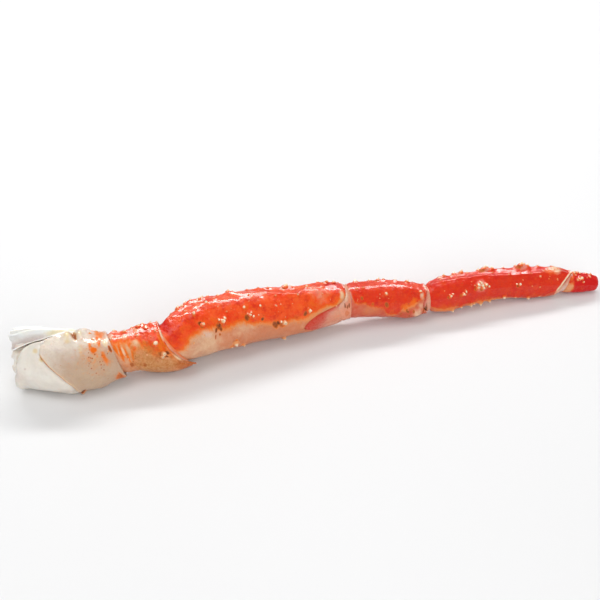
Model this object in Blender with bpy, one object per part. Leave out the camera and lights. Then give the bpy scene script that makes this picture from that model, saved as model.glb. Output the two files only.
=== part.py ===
"""A cooked king crab leg with its white shoulder end, lying on a flat surface.

The whole leg is laid out in two coordinates. A station is a distance along the leg's centreline, from the
torn shoulder end to the toe. An angle, in degrees, turns round that line: 0 on the red back, 90 on the
front side, 180 under the pale belly. Each piece is a radius at a station and an angle, so neighbours keep
their gap wherever the leg bends. Joints lean: near one, the stations slide along the belly by its lean.
"""

import math
from dataclasses import dataclass
from functools import partial

import bmesh
import bpy
import numpy as np
from mathutils import Vector

MM = 0.001
GAP = 0.3 * MM
SEAM = 0.8 * MM  # the gap along the coxa's slanting near edge
REAR_GAP = 1.0 * MM  # the gap behind each joint membrane
NECK_GAP = 0.5 * MM  # the gap inside a membrane's hem, where the segment ahead widens
SPOKES = 24

# Where the centreline starts, and its height there, above a surface at zero.
START = (-217.54 * MM, 10.91 * MM)
START_HEIGHT = 19.6 * MM


@dataclass(frozen=True)
class Segment:
    """One stiff length of the leg, from the joint behind it to the joint ahead of it."""

    name: str
    length: float  # between the two joints
    heading: float  # degrees, seen from above
    height: float  # of the centreline at the joint ahead
    bow: tuple  # the place of its greatest bend, as a share of the length, and its size sideways, upwards
    roll: float  # degrees that the back leans away from the front side
    lean: float  # how far the joint ahead leans forwards at the belly
    shell: float  # thickness of the shell at the joint ahead
    squareness: float  # exponent of the outline: 2 is an ellipse
    girth: tuple  # (millimetres from the joint behind, then the reach to the back, the sides, the belly)


SEGMENTS = (
    Segment("coxa", 69 * MM, -15.0, 19.6 * MM, (0.5, -7.0 * MM, 1.6 * MM), 20, 5 * MM, 1.5 * MM, 2.2,
            ((-6, 19.4, 16.6, 19.2), (8, 21.8, 18.4, 21.0), (24, 22.4, 19.0, 22.0), (43, 22.4, 19.2, 24.6),
             (55, 20.4, 18.0, 22.0), (64, 17.6, 15.8, 18.2), (72, 16.3, 14.6, 16.5), (80, 16.2, 14.5, 16.2))),
    Segment("ischium", 42 * MM, -4.0, 20.6 * MM, (0.5, 0, 0), 25, 8 * MM, 1.5 * MM, 2.2,
            ((-10, 12.6, 11.6, 12.6), (2, 13.9, 12.6, 13.9), (15, 14.5, 13.0, 14.5), (24, 15.3, 13.8, 17.0),
             (34, 16.5, 14.6, 19.0), (42, 17.3, 15.4, 19.6), (48, 18.9, 16.8, 20.6), (54, 20.8, 18.4, 22.4))),
    Segment("merus", 132 * MM, 4.0, 20.0 * MM, (0.23, 6.0 * MM, 3.5 * MM), 28, 0, 1.3 * MM, 2.4,
            ((-10, 12.0, 10.6, 12.0), (0, 13.4, 11.8, 13.4), (4, 15.2, 12.8, 14.8), (10, 18.2, 14.6, 17.4),
             (20, 20.0, 15.8, 19.4), (44, 19.6, 15.6, 19.4), (68, 18.2, 14.8, 18.6), (99, 16.4, 14.2, 17.8),
             (121, 14.6, 12.8, 15.7), (133, 13.4, 11.5, 13.4), (142, 12.8, 11.0, 12.8))),
    Segment("carpus", 61.5 * MM, -6.5, 14.2 * MM, (0.5, 0, 1.0 * MM), 25, 0, 1.2 * MM, 2.4,
            ((-9, 9.6, 8.6, 9.6), (1, 10.4, 9.2, 10.4), (6, 11.8, 10.2, 11.4), (20, 13.2, 11.2, 12.6),
             (34, 13.4, 11.5, 13.2), (50, 12.9, 11.2, 14.0), (61, 10.9, 9.8, 11.2), (68, 10.4, 9.4, 10.4))),
    Segment("propodus", 111 * MM, -3.9, 9.4 * MM, (0.5, 3.2 * MM, 2.7 * MM), 15, -4 * MM, 1.1 * MM, 2.5,
            ((-7, 7.6, 6.8, 7.6), (1, 8.2, 7.4, 8.2), (7, 10.8, 9.2, 10.8), (17, 12.3, 10.0, 12.3),
             (40, 11.6, 9.5, 11.6), (66, 11.0, 9.1, 11.0), (88, 11.1, 9.1, 11.1), (103, 10.5, 8.8, 10.5),
             (111, 8.9, 7.8, 8.9), (118, 8.4, 7.4, 8.4))),
    Segment("dactylus", 28 * MM, -13.0, 6.8 * MM, (0.5, 0, 0), 12, 0, 0, 2.3,
            ((-6, 5.4, 4.8, 5.4), (1, 6.1, 5.4, 6.1), (5, 7.6, 6.5, 7.6), (10, 7.9, 6.8, 7.9),
             (17, 7.1, 6.1, 7.1), (24, 6.1, 5.3, 6.1), (30, 4.6, 4.2, 4.6))),
)
NAMES = tuple(segment.name for segment in SEGMENTS)
SEGMENT = dict(zip(NAMES, SEGMENTS))
JOINT = dict(zip(NAMES, np.cumsum([0.0] + [segment.length for segment in SEGMENTS])))
LEAN_REACH = 15 * MM  # how far along the leg a joint's lean fades out

# A dome closes each segment's near end inside the cup of the joint membrane.
DOME_BASE = 1.5 * MM  # past the joint
DOME_DEPTH = {"ischium": 9 * MM, "merus": 9 * MM, "carpus": 8 * MM, "propodus": 6 * MM, "dactylus": 5 * MM}
MEMBRANE_REACH = 2.8 * MM  # past the joint, over the neck of the segment ahead
MEMBRANE_EDGE = 0.8 * MM  # its thickness there
MEMBRANE_BACK = 2.0 * MM  # its thickness behind the dome

# The belly of the merus is cut back at the knee, where the soft membrane shows.
KNEE_CUT = 27 * MM
KNEE_CUT_ANGLES = (48, 172)  # where the cut starts on the side, and where it is deepest
# The belly edge of the ischium runs out in a blunt point over the merus.
POINT_ANGLE = 163
POINT_WIDTH = 20
POINT_LENGTH = 2.5 * MM

# The shoulder: a core of meat, wrapped by a wedge-shaped plate, a torn flap and the coxa's own shell.
CORE_SHARE = 0.80  # of the coxa's radius
CORE_END = 31 * MM
COXA_EDGE = ((-150, 40), (-105, 31), (-60, 42), (-15, 50), (24, 38), (45, 21), (62, 17.5), (78, 21),
             (110, 36.5), (150, 47), (182, 46))  # degrees round the leg, millimetres along it


def smooth(points, at, period=None):
    """Values at places along a smooth curve through the points, rows of a place and its values."""
    table = np.array(points, dtype=float)
    if period:
        turn = np.array([period] + [0] * (table.shape[1] - 1))
        table = np.vstack([table - turn, table, table + turn])
    place, value = table[:, 0], table[:, 1:]
    nearest = np.clip([np.arange(len(place)) - 1, np.arange(len(place)) + 1], 0, len(place) - 1)
    slope = (value[nearest[1]] - value[nearest[0]]) / (place[nearest[1]] - place[nearest[0]])[:, None]
    at = np.clip(at, place[0], place[-1])
    k = int(np.clip(np.searchsorted(place, at) - 1, 0, len(place) - 2))
    span = place[k + 1] - place[k]
    t = (at - place[k]) / span
    return (value[k] * (1 + 2 * t) * (1 - t) ** 2 + value[k + 1] * t * t * (3 - 2 * t)
            + span * (slope[k] * t * (1 - t) ** 2 - slope[k + 1] * t * t * (1 - t)))


def eased(low, high, value):
    """0 below low, 1 above high, and a smooth rise between them."""
    t = min(max((value - low) / (high - low), 0.0), 1.0)
    return t * t * (3 - 2 * t)


def bump(angle, centre, width):
    """1 at an angle, falling off to 0 over a width on each side of it."""
    off = (angle - centre + 180) % 360 - 180
    return math.exp(-((off / width) ** 2))


def centreline_points():
    """The centreline's points, at the joints and the middle of each segment, as rows of station, x, y, z."""
    station, (x, y), z = 0.0, START, START_HEIGHT
    rows = [(station, x, y, z)]
    for segment in SEGMENTS:
        ahead = (math.cos(math.radians(segment.heading)), math.sin(math.radians(segment.heading)))
        share, sideways, upwards = segment.bow
        part = segment.length * share
        rows.append((station + part, x + ahead[0] * part - ahead[1] * sideways,
                     y + ahead[1] * part + ahead[0] * sideways,
                     z + (segment.height - z) * share + upwards))
        station, x, y, z = (station + segment.length, x + ahead[0] * segment.length,
                            y + ahead[1] * segment.length, segment.height)
        rows.append((station, x, y, z))
    before = 2 * np.array(rows[0]) - np.array(rows[1])
    beyond = 2 * np.array(rows[-1]) - np.array(rows[-2])
    return np.vstack([before, rows, beyond])


CENTRELINE = centreline_points()
ROLLS = [(JOINT[segment.name] + segment.length / 2, segment.roll) for segment in SEGMENTS]


def frame(station):
    """The centreline's point at a station, with the directions of the back and of the front side there."""
    step = 0.5 * MM
    point = smooth(CENTRELINE, station)
    ahead = smooth(CENTRELINE, station + step) - smooth(CENTRELINE, station - step)
    ahead /= np.linalg.norm(ahead)
    level = np.cross(ahead, (0, 0, 1))
    level /= np.linalg.norm(level)
    upright = np.cross(level, ahead)
    roll = math.radians(smooth(ROLLS, station)[0])
    back = math.cos(roll) * upright - math.sin(roll) * level
    front = math.cos(roll) * level + math.sin(roll) * upright
    return point, back, front


def place(station, angle, radius):
    """The point of the leg at a station, an angle and a radius, with the lean of the joints near it."""
    turn = math.radians(angle)
    for segment in SEGMENTS[:-1]:
        joint = JOINT[segment.name] + segment.length
        reach = radius / (segment.girth[-2][1] * MM)
        station -= segment.lean * reach * math.cos(turn) * math.exp(-(((station - joint) / LEAN_REACH) ** 2))
    point, back, front = frame(station)
    x, y, z = point + radius * (math.cos(turn) * back + math.sin(turn) * front)
    return x, y, max(z, 0.0)


def girth(name, station, angle):
    """The radius of a segment's outside at a station and an angle, with its ridges on the back and sides."""
    segment = SEGMENT[name]
    back, side, belly = smooth(segment.girth, (station - JOINT[name]) / MM) * MM
    turn = math.radians(angle)
    power = segment.squareness
    height = back if math.cos(turn) > 0 else belly
    round_shape = (abs(math.cos(turn) / height) ** power + abs(math.sin(turn) / side) ** power)
    ridges = 0.05 * bump(angle, -4, 16) + 0.04 * bump(angle, 84, 18) + 0.04 * bump(angle, -88, 18)
    return round_shape ** (-1 / power) * (1 + (0 if name == "coxa" else ridges))


def front_edge(name, angle):
    """The station of the rim at a segment's far end, at an angle."""
    edge = JOINT[name] + SEGMENT[name].length
    side = abs((angle + 180) % 360 - 180)
    if name == "merus":
        return edge + 1.2 * MM - KNEE_CUT * eased(*KNEE_CUT_ANGLES, side)
    if name == "ischium":
        return edge - 0.5 * MM + POINT_LENGTH * bump(angle, POINT_ANGLE, POINT_WIDTH)
    if name == "carpus":
        return edge + 0.5 * MM - 3 * MM * bump(angle, 96, 14) - 3 * MM * bump(angle, -96, 14)
    return edge + 1.5 * MM


def dome(name, angle, swell=0.0, rings=4):
    """Rows of station and radius over a segment's near end, from its pole out, swollen by a clearance."""
    base = JOINT[name] + DOME_BASE
    rows = []
    for k in range(rings):
        turn = math.pi / 2 * k / rings
        rows.append((base - (DOME_DEPTH[name] + swell) * math.cos(turn),
                     (girth(name, base, angle) + swell) * math.sin(turn)))
    return rows


def between(first, last, count, crowding=0.0):
    """Places from first to last, both included, crowded towards the two ends."""
    shares = [k / (count - 1) for k in range(count)]
    return [first + (last - first) * (share - crowding * math.sin(math.tau * share) / math.tau)
            for share in shares]


def body(name, angle, start, count):
    """Rows of station and radius along a segment's outside, from a station to its far rim."""
    stations = between(start, front_edge(name, angle), count, crowding=0.6)
    return [(at, girth(name, at, angle)) for at in stations]


def inside(name, station, angle):
    """The radius of the inside of a segment's shell, near its far end."""
    return girth(name, station, angle) - SEGMENT[name].shell


def membrane_rear(name, angle):
    """The station of the flat rear of the joint membrane ahead of a segment: slanted at the knee."""
    ahead = NAMES[NAMES.index(name) + 1]
    rear = JOINT[ahead] + DOME_BASE - DOME_DEPTH[ahead] - MEMBRANE_BACK
    if name == "merus":
        rear -= (KNEE_CUT / 2 - 3 * MM) * (1 - math.cos(math.radians(angle)))
    return rear


def socket(name, angle, count=4):
    """Rows down the inside of a segment's far end, from the rim to the slanted floor behind the membrane."""
    floor = membrane_rear(name, angle) - REAR_GAP
    rows = [(at, inside(name, at, angle)) for at in between(front_edge(name, angle), floor, count)]
    return rows + [(floor_centre(name) - REAR_GAP, 0.0)]


def floor_centre(name):
    """The station at which the flat rear of a membrane crosses the centreline."""
    return (membrane_rear(name, 0) + membrane_rear(name, 180)) / 2


def limb(name, count, angle):
    """One meridian of a segment between two joints: dome, outside, rim and socket."""
    near = JOINT[name] + DOME_BASE
    ends = [] if name == "dactylus" else socket(name, angle)
    if name == "dactylus":
        tip = JOINT[name] + SEGMENT[name].length
        rows = [(at, girth(name, at, angle)) for at in between(near, tip - 2 * MM, count)]
        end = girth(name, tip - 2 * MM, angle)
        return dome(name, angle) + rows + [(tip, 0.72 * end), (tip + 0.8 * MM, 0.35 * end), (tip + MM, 0.0)]
    return dome(name, angle) + body(name, angle, near, count) + ends


def membrane(name, count, angle):
    """One meridian of the soft plug between a segment's rim and the dome of the segment ahead."""
    ahead = NAMES[NAMES.index(name) + 1]
    rear = membrane_rear(name, angle)
    neck = JOINT[ahead] + DOME_BASE
    end = JOINT[ahead] + MEMBRANE_REACH
    hem = min(girth(ahead, end, angle) + NECK_GAP + MEMBRANE_EDGE, inside(name, end, angle) - GAP)
    rows = [(floor_centre(name), 0.0)]
    for at in between(rear, end, count):
        free = eased(front_edge(name, angle), end + MM, at) if at > front_edge(name, angle) else 0.0
        rows.append((at, (inside(name, at, angle) - GAP) * (1 - free) + hem * free))
    rows += [(end, girth(ahead, end, angle) + NECK_GAP), (neck, girth(ahead, neck, angle) + GAP)]
    return rows + dome(ahead, angle, swell=GAP)[::-1]


def coxa_edge(angle):
    """The station of the coxa's torn near edge, straight between spokes, where the plate and flap meet it."""
    spoke = 360 / SPOKES
    low = math.floor(angle / spoke) * spoke
    near, far = (smooth(COXA_EDGE, (side + 180) % 360 - 180, period=360)[0] * MM for side in (low, low + spoke))
    return near + (far - near) * (angle - low) / spoke


def core(station, angle):
    """The radius of the shoulder's meat."""
    return girth("coxa", station, angle) * CORE_SHARE


def coxa(angle):
    """One meridian of the coxa: its own core, its near edge, its outside, and the cup of the ischium."""
    edge = coxa_edge(angle)
    rows = [(CORE_END + GAP, 0.0), (CORE_END + GAP, core(CORE_END, angle) + GAP)]
    rows += [(at, core(at, angle) + GAP) for at in between(CORE_END + GAP, edge, 4)[1:]]
    rows += body("coxa", angle, edge, 9)
    neck = JOINT["ischium"] + DOME_BASE
    rows += [(at, girth("ischium", at, angle) + GAP) for at in (front_edge("coxa", angle), neck)]
    return rows + dome("ischium", angle, swell=GAP)[::-1]


def meat(angle):
    """One meridian of the shoulder's meat: an uneven bulge at the torn end, and the core inside the coxa."""
    lumps = 1.6 * MM * math.sin(math.radians(3 * angle + 40)) + 1.1 * MM * math.sin(math.radians(5 * angle))
    rows = [(0.5 * MM, 0.0), (1.0 * MM + 0.6 * lumps, 0.45 * core(0, angle)),
            (3.0 * MM + lumps, 0.86 * core(0, angle))]
    rows += [(at, core(at, angle)) for at in between(7 * MM, CORE_END, 5)]
    return rows + [(CORE_END, 0.0)]


def finish(name, shape, colour, roughness):
    """Turns a bmesh into a named object with its own material."""
    bmesh.ops.recalc_face_normals(shape, faces=shape.faces)
    if shape.calc_volume(signed=True) < 0:
        bmesh.ops.reverse_faces(shape, faces=shape.faces)
    mesh = bpy.data.meshes.new(name)
    shape.to_mesh(mesh)
    shape.free()
    mesh.shade_smooth()
    mesh.set_sharp_from_angle(angle=math.radians(50))
    material = bpy.data.materials.new(name)
    material.use_nodes = True
    shader = material.node_tree.nodes["Principled BSDF"]
    shader.inputs["Base Color"].default_value = (*colour, 1.0)
    shader.inputs["Roughness"].default_value = roughness
    shader.inputs["Metallic"].default_value = 0.0
    mesh.materials.append(material)
    piece = bpy.data.objects.new(name, mesh)
    bpy.context.scene.collection.objects.link(piece)
    return piece


def turned(meridian):
    """A closed bmesh from one meridian for each spoke, each running from pole to pole."""
    shape = bmesh.new()
    angles = [360 * k / SPOKES for k in range(SPOKES)]
    meridians = [meridian(angle) for angle in angles]
    first, last = (shape.verts.new(place(meridians[0][end][0], 0, 0)) for end in (0, -1))
    rings = [[shape.verts.new(place(at, angle, radius)) for angle, (at, radius) in zip(angles, ring)]
             for ring in list(zip(*meridians))[1:-1]]
    for k in range(SPOKES):
        ahead = (k + 1) % SPOKES
        shape.faces.new((first, rings[0][ahead], rings[0][k]))
        shape.faces.new((last, rings[-1][k], rings[-1][ahead]))
        for near, far in zip(rings, rings[1:]):
            shape.faces.new((near[k], near[ahead], far[ahead], far[k]))
    return shape


def sheet(point, columns, rows):
    """A closed bmesh of a thick sheet, from a function of two shares and of 0 inside or 1 outside."""
    shape = bmesh.new()
    layers = [[[shape.verts.new(place(*point(i / columns, j / rows, side))) for j in range(rows + 1)]
               for i in range(columns + 1)] for side in (0, 1)]
    inner, outer = layers
    for i in range(columns):
        for j in range(rows):
            shape.faces.new((outer[i][j], outer[i + 1][j], outer[i + 1][j + 1], outer[i][j + 1]))
            shape.faces.new((inner[i][j], inner[i][j + 1], inner[i + 1][j + 1], inner[i + 1][j]))
    for i in range(columns):
        for j in (0, rows):
            shape.faces.new((inner[i][j], inner[i + 1][j], outer[i + 1][j], outer[i][j]))
    for j in range(rows):
        for i in (0, columns):
            shape.faces.new((inner[i][j], outer[i][j], outer[i][j + 1], inner[i][j + 1]))
    return shape


def plate_point(along, across, side):
    """The wedge-shaped plate: it covers the belly of the shoulder up to the coxa's slanting edge."""
    angle = 210 - 150 * across
    torn = (4.5 + 1.2 * math.sin(angle / 9)) * MM
    seam = coxa_edge(angle) - SEAM
    station = torn + (seam - torn) * along
    angle += 26 * across ** 4 * (1 - eased(0, 14 * MM, station))
    outside = girth("coxa", station, angle) - 0.7 * MM * eased(0.5, 1, along)
    return station, angle, outside if side else core(station, angle) + 2 * GAP


def flap_point(along, across, side):
    """The torn flap: long folds over the back of the shoulder, rooted at the coxa's edge."""
    angle = -90 + 120 * across
    torn = (1.8 + 2.0 * math.sin(angle / 11) + 1.2 * math.sin(angle / 5)) * MM
    root = coxa_edge(angle) - SEAM
    station = torn + (root - torn) * along
    angle += 34 * across ** 3 * (1 - eased(0, 23 * MM, station))
    folds = 1.5 * MM * math.sin(math.radians(angle * 6.5 + 1400 * station)) ** 2
    outside = girth("coxa", station, angle) - 1.4 * MM + folds * (1 - eased(0.8, 1, along))
    return station, angle, outside if side else core(station, angle) + 2 * GAP


@dataclass(frozen=True)
class Spines:
    """A row of blunt spines along a segment, with the place of each from the joint behind it."""

    angle: float  # of the row
    sway: float  # how far the spines stray from it, in degrees
    height: float
    places: tuple  # millimetres from the joint behind


SPINES = {
    "coxa": (Spines(52, 0, 2.2 * MM, (61,)),),
    "ischium": (Spines(72, 8, 2.0 * MM, (27, 34)), Spines(8, 6, 1.8 * MM, (22, 33))),
    "merus": (
        Spines(80, 14, 3.0 * MM, (14, 22, 35, 60, 83, 107)),
        Spines(2, 10, 2.8 * MM, (8, 20, 44, 90, 118)),
        Spines(-60, 12, 2.6 * MM, (16, 40, 62, 88, 112)),
        Spines(150, 6, 2.0 * MM, (48, 56, 86)),
    ),
    "carpus": (Spines(60, 8, 1.8 * MM, (27,)), Spines(4, 8, 2.4 * MM, (10, 36)),
               Spines(-60, 8, 2.2 * MM, (14, 30, 46))),
    "propodus": (
        Spines(0, 10, 2.4 * MM, (24, 49, 78)),
        Spines(62, 12, 2.0 * MM, (21, 31, 44, 76)),
        Spines(118, 5, 2.0 * MM, (22, 42, 53, 66, 86)),
        Spines(-66, 10, 2.2 * MM, (18, 34, 52, 70, 90)),
    ),
    "dactylus": (Spines(10, 0, 2.4 * MM, (9,)), Spines(60, 0, 1.6 * MM, (14,))),
}


def grow_spines(name, shape):
    """Pushes a small pyramid out of the face nearest to each of a segment's spines."""
    for row in SPINES[name]:
        for k, at in enumerate(row.places):
            station = JOINT[name] + at * MM
            angle = row.angle + row.sway * math.sin(2.4 * k + 1)
            root = Vector(place(station, angle, girth(name, station, angle)))
            outwards = root - Vector(place(station, 0, 0))
            skin = (face for face in shape.faces if len(face.verts) == 4 and face.normal.dot(outwards) > 0)
            face = min(skin, key=lambda face: (face.calc_center_median() - root).length)
            bmesh.ops.inset_individual(shape, faces=[face], thickness=1.0 * MM)
            bmesh.ops.poke(shape, faces=[face], offset=row.height)


RED = (0.80, 0.13, 0.04)
IVORY = (0.84, 0.74, 0.60)
WHITE = (0.88, 0.84, 0.77)
PINK = (0.78, 0.58, 0.52)


def limb_piece(name, count, colour):
    """A segment's shell and flesh, one solid, with its spines."""
    shape = turned(partial(limb, name, count))
    shape.normal_update()
    grow_spines(name, shape)
    finish(name, shape, colour, 0.35)


def main():
    """Builds the leg, from the shoulder to the toe."""
    for leftover in list(bpy.data.objects):
        bpy.data.objects.remove(leftover, do_unlink=True)
    finish("shoulder_meat", turned(meat), WHITE, 0.5)
    finish("shoulder_plate", sheet(plate_point, 8, 10), WHITE, 0.35)
    finish("shoulder_flap", sheet(flap_point, 8, 16), WHITE, 0.45)
    first = turned(coxa)
    first.normal_update()
    grow_spines("coxa", first)
    finish("coxa", first, IVORY, 0.35)
    for name, count in (("ischium", 8), ("merus", 17), ("carpus", 10), ("propodus", 15), ("dactylus", 7)):
        limb_piece(name, count, RED)
    for name, count in (("ischium", 5), ("merus", 8), ("carpus", 5), ("propodus", 5)):
        ahead = NAMES[NAMES.index(name) + 1]
        finish(f"membrane_{name}_{ahead}", turned(partial(membrane, name, count)), PINK, 0.3)


main()
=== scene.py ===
"""A cooked king crab leg with its torn white shoulder end, dressed piece by piece around its solid frame.

The leg is laid out in two coordinates, the same ones as its frame. A station is a distance along the leg's
centreline, from the torn shoulder to the toe. An angle, in degrees, turns round that line: 0 on the red back,
90 on the front side, 180 under the pale belly. Every skin is a radius over those two, so spines, stains, rims
and folds are placed by a distance from a joint and an angle.
"""

import itertools
import logging
import math
from dataclasses import dataclass
from enum import Enum

import bpy
import numpy as np
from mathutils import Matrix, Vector


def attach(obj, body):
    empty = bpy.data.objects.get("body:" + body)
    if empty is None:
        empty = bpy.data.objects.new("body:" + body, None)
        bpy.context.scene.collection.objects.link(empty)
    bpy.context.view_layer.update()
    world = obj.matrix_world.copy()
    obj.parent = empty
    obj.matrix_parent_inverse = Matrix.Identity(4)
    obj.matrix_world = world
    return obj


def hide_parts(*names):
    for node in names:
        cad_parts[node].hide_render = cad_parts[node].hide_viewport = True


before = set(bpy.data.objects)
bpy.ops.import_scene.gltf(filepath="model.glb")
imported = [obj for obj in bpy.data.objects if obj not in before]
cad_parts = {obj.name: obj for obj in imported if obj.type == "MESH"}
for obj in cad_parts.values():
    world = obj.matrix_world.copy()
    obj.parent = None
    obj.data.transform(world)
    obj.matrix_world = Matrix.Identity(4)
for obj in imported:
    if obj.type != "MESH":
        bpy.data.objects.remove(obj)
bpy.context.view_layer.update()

Array = np.ndarray
Piece = bpy.types.Object
Material = bpy.types.Material
LOG = logging.getLogger("king_crab_leg")
MM = 0.001
BODY = "root"
SPINE_SUNK = 0.24  # how deep a spine's root is in the shell, over its width
COXA_RADIUS = 19.0  # millimetres, on the whole
BIG_SPINE = 1.75  # millimetres; wider spines stand on a mound and stain the shell round them
CLOUD_SPREAD = 2.6  # stretches noise round 0.5 to about -1 to 1
ROLL = np.linspace(0, math.pi, 7)  # the turns at which a rolled edge has its rings


class Tint(Enum):
    """The stains and shades that a skin carries as one value for each of its points."""

    RED = "red"  # how deep the red of the shell is, over its ivory: 0.5 is its edge
    CRIMSON = "crimson"
    ORANGE = "orange"
    BROWN = "brown"
    BARE = "bare"  # rubbed or raised places where the shell is cream
    LILAC = "lilac"
    SPECKS = "specks"  # how many small brown specks lie there
    GOLD = "gold"
    SHADE = "shade"  # painted shade: the darker, warmer lower sides, bellies and hollows of pale parts, and a few tan streaks
    BLUSH = "blush"  # where pale shell lets the pink under it through


# ---------------- curves and randomness


def smooth(points: tuple, at: Array, period: float | None = None) -> Array:
    """Values along a smooth curve.

    Args:
        points: Rows of a place and its values.
        at: The places to read, of any shape.
        period: The length after which the curve starts again, if it does.

    Returns:
        An array of at's shape, with one more axis for the values.
    """
    table = np.array(points, dtype=float)
    if period:
        turn = np.array([period] + [0] * (table.shape[1] - 1))
        table = np.vstack([table - turn, table, table + turn])
    place, value = table[:, 0], table[:, 1:]
    order = np.arange(len(place))
    behind, ahead = np.clip(order - 1, 0, None), np.clip(order + 1, None, len(place) - 1)
    slope = (value[ahead] - value[behind]) / (place[ahead] - place[behind])[:, None]
    at = np.clip(np.asarray(at, dtype=float), place[0], place[-1])
    k = np.clip(np.searchsorted(place, at) - 1, 0, len(place) - 2)
    span = (place[k + 1] - place[k])[..., None]
    t = (at[..., None] - place[k][..., None]) / span
    return (value[k] * (1 + 2 * t) * (1 - t) ** 2 + value[k + 1] * t * t * (3 - 2 * t)
            + span * (slope[k] * t * (1 - t) ** 2 - slope[k + 1] * t * t * (1 - t)))


def curve(points: tuple, at: Array, period: float | None = None) -> Array:
    """The single value along a smooth curve through rows of a place and a value."""
    return smooth(points, at, period)[..., 0]


def eased(low: float, high: float, value: Array) -> Array:
    """0 below low, 1 above high, and a smooth rise between them."""
    t = np.clip((value - low) / (high - low), 0.0, 1.0)
    return t * t * (3 - 2 * t)


def hump(value: Array, centre: float, width: float) -> Array:
    """1 at the centre, falling off to 0 over a width on each side of it."""
    return np.exp(-(((value - centre) / width) ** 2))


def turn_from(angle: Array, centre: float) -> Array:
    """The turn from a centre to an angle, in degrees from -180 to 180."""
    return (angle - centre + 180) % 360 - 180


def at_least(values: dict, tint: Tint, strength: Array | float) -> None:
    """Raises a tint among the values to a strength, where it is lower."""
    values[tint] = np.maximum(values[tint], strength)


class Grain:
    """Smooth random values in space, the same on every run."""

    KEYS = (73856093, 19349663, 83492791)
    COUNT = 8192

    def __init__(self, seed: int) -> None:
        """Fills the lattice's values from a fixed seed."""
        self.values = np.random.default_rng(seed).uniform(-1, 1, self.COUNT)

    def at(self, points: Array, size: float) -> Array:
        """Values in space, with blotches of one size.

        Args:
            points: The places, with x, y and z on the last axis.
            size: The blotches' size.

        Returns:
            A value from -1 to 1 for each of them.
        """
        cells = points / size
        base = np.floor(cells).astype(np.int64)
        t = cells - base
        t = t * t * (3 - 2 * t)
        total = np.zeros(points.shape[:-1])
        for corner in itertools.product((0, 1), repeat=3):
            weight = np.prod(np.where(corner, t, 1 - t), axis=-1)
            total += weight * self.values[((base + corner) @ self.KEYS) % self.COUNT]
        return total

    def layers(self, points: Array, size: float, count: int = 3) -> Array:
        """Blotches of a size with finer ones, each of half the size and half the strength, laid over them."""
        return sum(self.at(points + 7.3 * size * k, size / 2**k) / 2**k for k in range(count))


# ---------------- the leg's layout


@dataclass(frozen=True)
class Segment:
    """One stiff length of the leg, from the joint behind it to the joint ahead of it, as in the frame."""

    name: str
    length: float
    heading: float  # degrees, seen from above
    height: float  # of the centreline at the joint ahead
    bow: tuple  # the place of its greatest bend, as a share of the length, and its size sideways, upwards
    roll: float  # degrees that the back leans away from the front side
    lean: float  # how far the joint ahead leans forwards at the belly
    shell: float  # thickness of the shell at the joint ahead
    squareness: float  # exponent of the outline: 2 is an ellipse
    girth: tuple  # (millimetres from the joint behind, then the reach to the back, the sides, the belly)


SEGMENTS = (
    Segment("coxa", 69 * MM, -15, 19.6 * MM, (0.5, -7.0 * MM, 1.6 * MM), 20, 5 * MM, 1.5 * MM, 2.2,
            ((-6, 19.4, 16.6, 19.2), (8, 21.8, 18.4, 21), (24, 22.4, 19, 22), (43, 22.4, 19.2, 24.6),
             (55, 20.4, 18, 22), (64, 17.6, 15.8, 18.2), (72, 16.3, 14.6, 16.5), (80, 16.2, 14.5, 16.2))),
    Segment("ischium", 42 * MM, -4, 20.6 * MM, (0.5, 0, 0), 25, 8 * MM, 1.5 * MM, 2.2,
            ((-10, 12.6, 11.6, 12.6), (2, 13.9, 12.6, 13.9), (15, 14.5, 13, 14.5), (24, 15.3, 13.8, 17),
             (34, 16.5, 14.6, 19), (42, 17.3, 15.4, 19.6), (48, 18.9, 16.8, 20.6), (54, 20.8, 18.4, 22.4))),
    Segment("merus", 132 * MM, 4, 20.0 * MM, (0.23, 6.0 * MM, 3.5 * MM), 28, 0, 1.3 * MM, 2.4,
            ((-10, 12, 10.6, 12), (0, 13.4, 11.8, 13.4), (4, 15.2, 12.8, 14.8), (10, 18.2, 14.6, 17.4),
             (20, 20, 15.8, 19.4), (44, 19.6, 15.6, 19.4), (68, 18.2, 14.8, 18.6), (99, 16.4, 14.2, 17.8),
             (121, 14.6, 12.8, 15.7), (133, 13.4, 11.5, 13.4), (142, 12.8, 11, 12.8))),
    Segment("carpus", 61.5 * MM, -6.5, 14.2 * MM, (0.5, 0, 1.0 * MM), 25, 0, 1.2 * MM, 2.4,
            ((-9, 9.6, 8.6, 9.6), (1, 10.4, 9.2, 10.4), (6, 11.8, 10.2, 11.4), (20, 13.2, 11.2, 12.6),
             (34, 13.4, 11.5, 13.2), (50, 12.9, 11.2, 14), (61, 10.9, 9.8, 11.2), (68, 10.4, 9.4, 10.4))),
    Segment("propodus", 111 * MM, -3.9, 9.4 * MM, (0.5, 3.2 * MM, 2.7 * MM), 15, -4 * MM, 1.1 * MM, 2.5,
            ((-7, 7.6, 6.8, 7.6), (1, 8.2, 7.4, 8.2), (7, 10.8, 9.2, 10.8), (17, 12.3, 10, 12.3),
             (40, 11.6, 9.5, 11.6), (66, 11, 9.1, 11), (88, 11.1, 9.1, 11.1), (103, 10.5, 8.8, 10.5),
             (111, 8.9, 7.8, 8.9), (118, 8.4, 7.4, 8.4))),
    Segment("dactylus", 28 * MM, -13, 6.8 * MM, (0.5, 0, 0), 12, 0, 0, 2.3,
            ((-6, 5.4, 4.8, 5.4), (1, 6.1, 5.4, 6.1), (5, 7.6, 6.5, 7.6), (10, 7.9, 6.8, 7.9),
             (17, 7.1, 6.1, 7.1), (24, 6.1, 5.3, 6.1), (30, 4.6, 4.2, 4.6))),
)


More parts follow.
